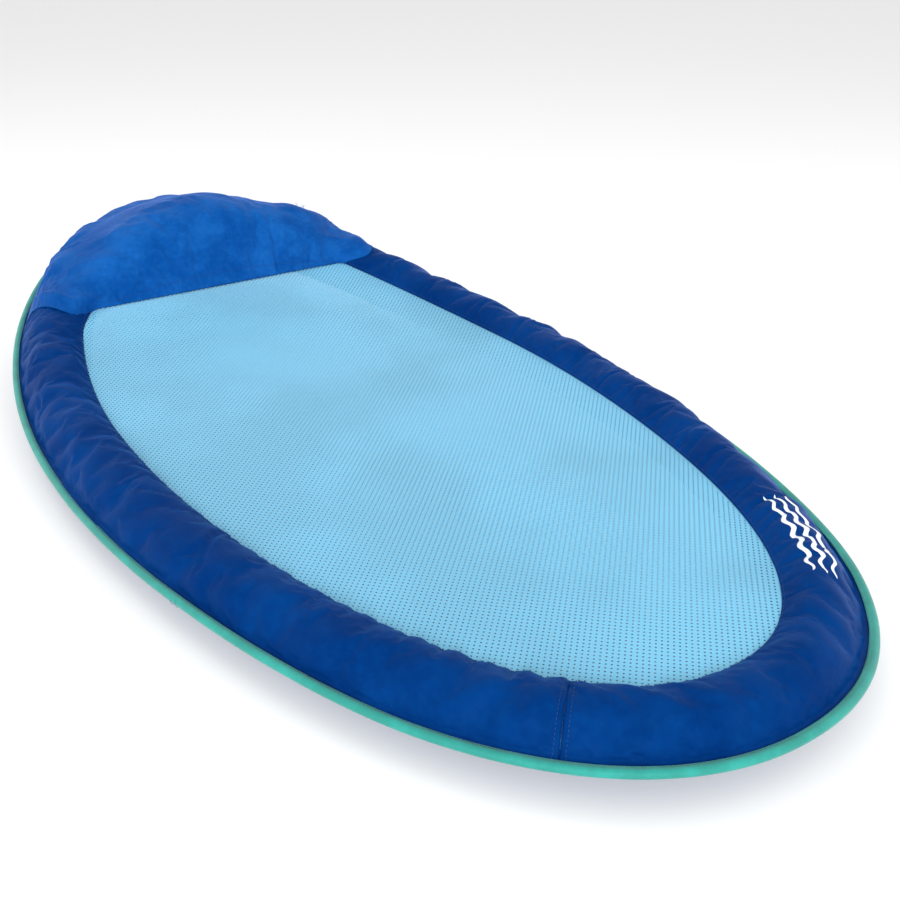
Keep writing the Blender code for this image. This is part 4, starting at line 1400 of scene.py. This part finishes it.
def headrest_relief():
    """Gathers of the headrest. u runs from the right end to the left, v up from the front seam."""
    relief = Relief(HEADREST_SEED)
    relief.add_waves(0.0016, 0.09, 0.24)
    relief.add_waves(0.0006, 0.03, 0.07)
    draw = relief.random
    for _ in range(52):  # puckers along the front seam
        u = draw.uniform(0.03, 0.53)
        end = (u + draw.normal(0, 0.012), draw.uniform(0.015, 0.055))
        relief.add_crease((u, -0.002), end, draw.uniform(0.0006, 0.0018), 0.005)
    for i in range(10):  # a fan of gathers from the right corner
        lean = math.radians(14 + 8.0 * i)
        reach = draw.uniform(0.07, 0.14)
        start = (0.040 + 0.012 * i, 0.004)
        end = (start[0] + reach * math.cos(lean), start[1] + reach * math.sin(lean))
        relief.add_crease(start, end, draw.uniform(0.0018, 0.0036), 0.0070)
    for i in range(6):  # and a smaller one from the left corner
        lean = math.radians(20 + 11 * i)
        reach = draw.uniform(0.05, 0.10)
        start = (0.525 - 0.012 * i, 0.004)
        end = (start[0] - reach * math.cos(lean), start[1] + reach * math.sin(lean))
        relief.add_crease(start, end, draw.uniform(0.0010, 0.0022), 0.007)
    for _ in range(26):  # loose folds behind the crest
        u, v = draw.uniform(0.05, 0.5), draw.uniform(0.15, 0.30)
        end = (u + draw.normal(0, 0.03), v + draw.uniform(0.03, 0.09))
        relief.add_crease(end, (u, v), draw.uniform(0.0008, 0.0022), 0.007)
    return relief


def round_profile(depth):
    """Share of the crest's height at shares of the way back, with its corners rounded."""
    shares, heights = np.array(HEADREST_PROFILE).T
    fine = np.arange(-100, 1101) * PROFILE_STEP
    level = np.interp(fine, shares, heights)
    kernel = np.hanning(PROFILE_ROUNDING)
    level = np.convolve(level, kernel / kernel.sum(), mode="same")
    return np.interp(depth, fine, level)


@functools.lru_cache(maxsize=None)
def headrest_surface():
    """Upper and lower points of the pillow and the flat map of its upper cloth."""
    head = settings().headrest
    side, depth, plan = headrest_plan()
    x, y = plan[..., 0], plan[..., 1]
    across = np.clip(1 - (2 * side - 1) ** 2, 0, None)[:, None]
    edge = smooth_step(depth, 0, HEADREST_RIM)[None, :] * smooth_step(1 - depth, 0, HEADREST_RIM)[None, :]
    edge = edge * smooth_step(across, 0, HEADREST_END_RIM)
    under = ring_top(x, y) + head.clearance
    base = under[:, :1] * (1 - depth) + under[:, -1:] * depth
    full = base + head.crest * across**0.95 * round_profile(depth)[None, :]
    over = soft_max(under + head.seam_rise * edge, full, HEADREST_BLEND)
    over = over + HEADREST_BRIDGE * (bridge(plan, over) - over)
    over = over * edge + (under + SEAM_LEVEL) * (1 - edge)
    over = seat_valve(x, y, over)
    upper = np.concatenate([plan, over[..., None]], -1)
    lower = np.concatenate([plan, under[..., None]], -1)
    lower[0], lower[-1], lower[:, 0], lower[:, -1] = upper[0], upper[-1], upper[:, 0], upper[:, -1]
    steps = np.linalg.norm(np.diff(upper, axis=1), axis=-1)
    v = np.concatenate([np.zeros((len(upper), 1)), np.cumsum(steps, axis=1)], 1)
    u = np.broadcast_to((side * HEADREST_SPAN)[:, None], v.shape).copy()
    relief = headrest_relief()
    clear = 1 - np.exp(-((np.hypot(x - VALVE_SPOT[0], y - VALVE_SPOT[1]) / VALVE_CALM) ** 4))
    height = relief.waves_at(u, v) * edge + relief.creases_at(u, v) * smooth_step(edge, 0, 0.6)
    upper = upper + grid_normals(upper, True) * (height * clear)[..., None]
    move = cloth_creases(upper, head.slack, head.crease_limit)
    upper = upper + move * (clear * edge)[..., None]
    upper[..., 2] -= HEADREST_WELL * well_share(upper, VALVE_SPOT, HEADREST_WELL_RADIUS)
    return upper, lower, u, v


def bridge(plan, height):
    """Heights of cloth pulled tight over each row of the grid, so that it spans the hollows."""
    tight = height.copy()
    for i, row in enumerate(height):
        travel = np.concatenate([[0], np.cumsum(np.linalg.norm(np.diff(plan[i], axis=0), axis=1))])
        kept = []
        for j in range(len(row)):
            while len(kept) > 1:
                a, b = kept[-2], kept[-1]
                rise = (row[j] - row[a]) * (travel[b] - travel[a])
                if (row[b] - row[a]) * (travel[j] - travel[a]) > rise:
                    break
                kept.pop()
            kept.append(j)
        tight[i] = np.interp(travel, travel[kept], row[kept])
    return tight


def seat_valve(x, y, over):
    """Brings the cloth up to the rim of the valve and lies it square to the valve's axis."""
    gap = np.hypot(x - VALVE_SPOT[0], y - VALVE_SPOT[1])
    plane = VALVE_SPOT[2] + VALVE_SLOPE[0] * (x - VALVE_SPOT[0]) + VALVE_SLOPE[1] * (y - VALVE_SPOT[1])
    near = np.exp(-((gap / VALVE_FLAT) ** 2))
    level = over.reshape(-1)[gap.argmin()]
    raised = over + (VALVE_SPOT[2] - level) * np.exp(-((gap / VALVE_RISE) ** 2))
    return raised * (1 - near) + plane * near


class FLOAT_OT_headrest(Operator):
    """Blows up the headrest's cover, with gathers at its front seam and its far corner"""

    bl_idname = "pool_float.headrest"
    bl_label = "Headrest"

    def execute(self, context):
        upper, lower, u, v = headrest_surface()
        loop = np.concatenate([upper, lower[:, -2:0:-1]], 1)
        flat_u = np.concatenate([u, u[:, -2:0:-1]], 1)
        flat_v = np.concatenate([v, v[:, -2:0:-1] + 0.5], 1)
        mesh = grid_mesh("headrest_cover", loop, flat_u, flat_v, closed_sections=True)
        close_cushion(mesh)
        piece = add_piece("headrest_cover", mesh, finishes()["headrest"])
        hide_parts("headrest_cover_top", "headrest_cover_bottom")
        return {"FINISHED"}

# ---------------------------------------------------------------- trim


JOINT_HALF = 0.0045  # from the middle of the sleeve's overlap to each row
JOINT_TURN = 150  # degrees to each side that those rows go round the pocket
JOINT_STEP = 10
THREAD_PROUD = 0.0003  # how far the thread stands off the cloth
HEADREST_THREAD_PROUD = 0.0004
EDGE_ROW = 0.0013  # from the edge stitches to the end of the sleeve's lips
EDGE_POINTS = 1200
SEAM_ROW = 0.6  # the stitches beside the mesh lie between the cloth's second and third points
PANEL_ROW = 2  # rows of the cloth from a panel's end to its stitches
HEADREST_COLUMN = 3  # points from the front seam to its stitches
HEADREST_END = 4  # rows at each end of the headrest without stitches


class FLOAT_OT_stitching(Operator):
    """Sews the rows of stitches along the binding, the mesh seam, the panels and the headrest"""

    bl_idname = "pool_float.stitching"
    bl_label = "Stitching"

    def execute(self, context):
        self.edge_rows()
        self.seam_rows()
        self.panel_rows()
        self.headrest_row()
        self.sleeve_joint()
        return {"FINISHED"}

    def sleeve_joint(self):
        """Two rows of stitches across the binding where its ends overlap."""
        sleeve = settings().sleeve
        middle = distance_at(math.degrees(sleeve.joint_turn))
        turns = np.radians(np.arange(-JOINT_TURN, JOINT_TURN + 1, JOINT_STEP))
        paths = []
        for shift in (-JOINT_HALF, JOINT_HALF):
            angle = np.full(len(turns), angle_at(middle + shift))
            out = -sleeve.inset + (sleeve.radius + THREAD_PROUD) * np.cos(turns)
            height = flange_height(angle) + (sleeve.radius + THREAD_PROUD) * np.sin(turns)
            paths.append(place(angle, out, height))
        add_stitches("sleeve_joint_stitches", paths, "dark_thread")

    def edge_rows(self):
        sleeve = settings().sleeve
        angles = angle_at(np.linspace(0, perimeter(), EDGE_POINTS))
        drift = edge_drift(distance_at(angles))
        for name, side in (("upper", 1), ("lower", -1)):
            height = flange_height(angles) + side * (sleeve.lip + 0.0002) + drift
            row = place(angles, -flange(angles) * sleeve.lip_reach - LIP_START + EDGE_ROW, height)
            add_stitches(f"edge_stitches_{name}", [row], "teal_thread")

    def seam_rows(self):
        """A row in the ring's cover beside the mesh, read from the wrinkled cloth."""
        paths = []
        for side in PANELS:
            points, _, _ = panel_surface(side, True)
            row = points[:, 1] * SEAM_ROW + points[:, 2] * (1 - SEAM_ROW)
            row[:, 2] += THREAD_PROUD
            paths.append(row)
        add_stitches("mesh_seam_stitches", paths, "dark_thread")

    def panel_rows(self):
        paths = []
        for side in PANELS:
            for top in (True, False):
                points, _, _ = panel_surface(side, top)
                for row in (points[PANEL_ROW], points[-PANEL_ROW - 1]):
                    raised = row.copy()
                    raised[:, 2] += THREAD_PROUD if top else -THREAD_PROUD
                    raised[:, 2] = np.maximum(raised[:, 2], settings().stitches.thickness / 2)
                    paths.append(raised)
        add_stitches("panel_stitches", paths, "dark_thread")

    def headrest_row(self):
        upper, _, _, _ = headrest_surface()
        front = upper[HEADREST_END:-HEADREST_END, HEADREST_COLUMN].copy()
        front[:, 2] += HEADREST_THREAD_PROUD
        add_stitches("headrest_stitches", [front], "dark_thread")


PRINT_SEAM_DISTANCE = 0.050  # from the mesh seam to the middle of the print
PRINT_PROUD = 0.0003  # how far the ink stands off the smooth cloth
PRINT_THICKNESS = 0.00025  # of the ink
PRINT_SLANT = 0.9  # radians by which each wave line runs ahead of the one before
PRINT_TAPER = 0.35  # power by which the lines run out to a point


class FLOAT_OT_wave_print(Operator):
    """Prints white wave lines on the ring at the foot end"""

    bl_idname = "pool_float.wave_print"
    bl_label = "Wave print"

    def execute(self, context):
        ink = settings().print_lines
        points, u, v = panel_surface("foot", True)
        normal = grid_normals(points, True)
        start = distance_at(PANELS["foot"][0]) + ink.start - ink.length / 2
        rows = np.nonzero((u[:, 0] > start) & (u[:, 0] < start + ink.length))[0]
        inked = (points + normal * PRINT_PROUD)[rows]
        v, distances = v[rows], u[rows, 0]
        lines = []
        for i in range(ink.waves):
            middle = PRINT_SEAM_DISTANCE + (i - (ink.waves - 1) / 2) * ink.spacing
            taper = np.sin(np.linspace(0.0, math.pi, len(distances))) ** PRINT_TAPER
            phase = (distances - start) / ink.wave * math.tau + i * PRINT_SLANT
            centre = middle + ink.height * np.sin(phase)
            edges = []
            for share_across in (-0.5, -0.25, 0, 0.25, 0.5):
                target = centre + share_across * ink.line * taper
                edges.append([self.sample(inked[j], v[j], target[j]) for j in range(len(target))])
            lines.append(np.array(edges).transpose(1, 0, 2))
        build = bmesh.new()
        for grid in lines:
            mesh = grid_mesh("wave", grid)
            face_outwards(mesh, True)
            build.from_mesh(mesh)
            bpy.data.meshes.remove(mesh)
        mesh = bpy.data.meshes.new("wave_print")
        build.to_mesh(mesh)
        build.free()
        mesh.shade_smooth()
        piece = add_piece("wave_print", mesh, finishes()["ink"])
        thicken(piece, PRINT_THICKNESS, 1)
        return {"FINISHED"}

    @staticmethod
    def sample(row, travel, target):
        return [np.interp(target, travel, row[:, k]) for k in range(3)]


BLADDER_INSET = 0.0105  # from the cloth to the film inside it
BLADDER_SECTIONS = 360  # round the ring
BLADDER_TURN = 15  # degrees between the points of the ring bladder's section
BLADDER_WELL = 1.6  # depth of its well for the valve, as a share of the cover's
BLADDER_WELL_RADIUS = 1.8  # and its radius
CUSHION_ENDS = (0.11, 0.89)  # part of the headrest's length that its bladder fills
CUSHION_FRONT = 8  # columns of the headrest's grid in front of its bladder
CUSHION_BACK = 0.66  # share of the way back where it ends
CUSHION_WELL_RADIUS = 3.6  # of its well for the valve, as a share of the cloth's


class FLOAT_OT_bladders(Operator):
    """Makes the film bladders inside the ring and the headrest"""

    bl_idname = "pool_float.bladders"
    bl_label = "Bladders"

    def execute(self, context):
        distances = np.linspace(0, perimeter(), BLADDER_SECTIONS, endpoint=False)
        turns = np.radians(np.arange(0, 360, BLADDER_TURN))
        angles = np.repeat(angle_at(distances)[:, None], len(turns), 1)
        out, height = tube_point(angles, np.broadcast_to(turns, angles.shape), BLADDER_INSET)
        points = place(angles, out, height)
        radius = BLADDER_WELL_RADIUS * VALVE_WELL_RADIUS
        room = BLADDER_WELL * VALVE_WELL * well_share(points, RING_VALVE, radius)
        middle = np.mean([height.max(), height.min()]) + lift(90.0)
        points[..., 2] += room * (points[..., 2] < middle)
        mesh = grid_mesh("ring_air_bladder", points, closed_rows=True, closed_sections=True)
        turn_out(mesh)
        piece = add_piece("ring_air_bladder", mesh, finishes()["film"])
        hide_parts("ring_bladder")
        self.headrest_bladder()
        return {"FINISHED"}

    @staticmethod
    def headrest_bladder():
        """A film cushion a little inside the headrest's covers."""
        upper, lower, _, _ = headrest_surface()
        first, last = (round(HEADREST_ACROSS * end) for end in CUSHION_ENDS)
        inside = (slice(first, last, 2), slice(CUSHION_FRONT, round(HEADREST_ALONG * CUSHION_BACK), 2))
        top, low = upper[inside], lower[inside]
        rows, columns = (np.sin(np.linspace(0, math.pi, count)) for count in top.shape[:2])
        dome = rows[:, None] ** 0.5 * columns[None, :] ** 0.4
        room = (1 - well_share(top, VALVE_SPOT, CUSHION_WELL_RADIUS * HEADREST_WELL_RADIUS)) * dome
        half = np.clip((top[..., 2] - low[..., 2]) / 2 - BLADDER_INSET, 0.0, None) * room
        middle = (top + low) / 2
        shift = np.zeros_like(top)
        shift[..., 2] = half
        loop = np.concatenate([middle + shift, (middle - shift)[:, -2:0:-1]], 1)
        mesh = grid_mesh("headrest_air_bladder", loop, closed_sections=True)
        close_cushion(mesh)
        piece = add_piece("headrest_air_bladder", mesh, finishes()["film"])
        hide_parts("headrest_bladder")


PART_FINISHES = {
    "valve_base": "plastic",
    "valve_cap": "plastic",
    "cap_tether": "plastic",
    "headrest_valve_collar": "plastic",
    "headrest_valve_stem": "plastic",
    "headrest_valve_plug": "plastic",
    "headrest_valve_strap": "plastic",
    "valve_flap": "rubber",
    "cap_gasket": "rubber",
    "headrest_valve_flap": "rubber",
    "hoop_ferrule": "ferrule",
}


class FLOAT_OT_valves(Operator):
    """Gives the valves and the hoop's ferrule their finishes"""

    bl_idname = "pool_float.valves"
    bl_label = "Valves and small parts"

    def execute(self, context):
        for name, finish in PART_FINISHES.items():
            for material_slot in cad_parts[name].material_slots:
                material_slot.material = finishes()[finish]
        return {"FINISHED"}


FLOOR_HALF = 14  # half the floor's width
# name, place, place it points at, width in metres, power in watts
LAMPS = (
    ("key", (-3.4, -4.4, 2.6), (-0.1, 0.45, 0.1), 2.2, 300),
    ("fill", (2.4, -1.2, 1.4), (0, 0.2, 0.05), 2.0, 8),
    ("top", (-0.9, 1.6, 3.0), (0, 0, 0), 1.6, 12),
)


class FLOAT_OT_stage(Operator):
    """Sets the camera, the floor and the studio lights"""

    bl_idname = "pool_float.stage"
    bl_label = "Stage"

    def execute(self, context):
        stage = settings().stage
        scene = context.scene
        scene.view_settings.view_transform = "Standard"
        back = Vector(
            (
                math.sin(stage.azimuth) * math.cos(stage.elevation),
                -math.cos(stage.azimuth) * math.cos(stage.elevation),
                math.sin(stage.elevation),
            )
        )
        lens = bpy.data.cameras.new("camera")
        lens.lens = stage.lens
        lens.sensor_width = stage.sensor
        camera = bpy.data.objects.new("camera", lens)
        scene.collection.objects.link(camera)
        camera.location = Vector(stage.target) + back * stage.distance
        camera.rotation_euler = (-back).to_track_quat("-Z", "Y").to_euler()
        scene.camera = camera
        self.add_floor(scene)
        self.add_lights(scene)
        return {"FINISHED"}

    @staticmethod
    def add_floor(scene):
        mesh = bpy.data.meshes.new("floor")
        build = bmesh.new()
        bmesh.ops.create_grid(build, x_segments=1, y_segments=1, size=FLOOR_HALF)
        build.to_mesh(mesh)
        build.free()
        floor = bpy.data.objects.new("floor", mesh)
        scene.collection.objects.link(floor)
        nodes = Paint("floor")
        base = rgba(settings().finish.floor)
        mesh.materials.append(nodes.set(Base_Color=base, Roughness=0.9, Specular_IOR_Level=0.1))

    @staticmethod
    def add_lights(scene):
        world = bpy.data.worlds.new("studio")
        world.use_nodes = True
        sky = world.node_tree.nodes["Background"]
        sky.inputs["Color"].default_value = (1, 1, 1, 1)
        sky.inputs["Strength"].default_value = settings().stage.sky
        scene.world = world
        for name, spot, aim, size, power in LAMPS:
            lamp = bpy.data.lights.new(name, "AREA")
            lamp.shape = "DISK"
            lamp.size = size
            lamp.energy = power
            item = bpy.data.objects.new(name, lamp)
            scene.collection.objects.link(item)
            item.location = spot
            item.rotation_euler = (Vector(aim) - Vector(spot)).to_track_quat("-Z", "Y").to_euler()


CLASSES = (
    FLOAT_PG_ring,
    FLOAT_PG_sleeve,
    FLOAT_PG_headrest,
    FLOAT_PG_seat,
    FLOAT_PG_stitches,
    FLOAT_PG_print,
    FLOAT_PG_finish,
    FLOAT_PG_stage,
    FLOAT_PG_settings,
    FLOAT_OT_stage,
    FLOAT_OT_ring_covers,
    FLOAT_OT_edge_sleeve,
    FLOAT_OT_seat_mesh,
    FLOAT_OT_headrest,
    FLOAT_OT_stitching,
    FLOAT_OT_wave_print,
    FLOAT_OT_bladders,
    FLOAT_OT_valves,
)

STEPS = (
    "stage",
    "ring_covers",
    "edge_sleeve",
    "seat_mesh",
    "headrest",
    "stitching",
    "wave_print",
    "bladders",
    "valves",
)


class FLOAT_PT_sidebar(Panel):
    """Sizes, colours and the steps that build the float"""

    bl_idname = "FLOAT_PT_sidebar"
    bl_label = "Pool float"
    bl_space_type = "VIEW_3D"
    bl_region_type = "UI"
    bl_category = "Pool float"

    def draw(self, context):
        for step in STEPS:
            self.layout.operator(f"pool_float.{step}")
        for group in ("ring", "sleeve", "headrest", "seat", "stitches", "print_lines", "finish", "stage"):
            box = self.layout.box()
            part = getattr(context.scene.pool_float, group)
            for name in part.bl_rna.properties.keys():
                if name not in ("rna_type", "name"):
                    box.prop(part, name)


def register():
    for item in (*CLASSES, FLOAT_PT_sidebar):
        bpy.utils.register_class(item)
    bpy.types.Scene.pool_float = PointerProperty(type=FLOAT_PG_settings)


def unregister():
    del bpy.types.Scene.pool_float
    for item in reversed((*CLASSES, FLOAT_PT_sidebar)):
        bpy.utils.unregister_class(item)


def main():
    register()
    for step in STEPS:
        getattr(bpy.ops.pool_float, step)()


if __name__ == "__main__":
    main()
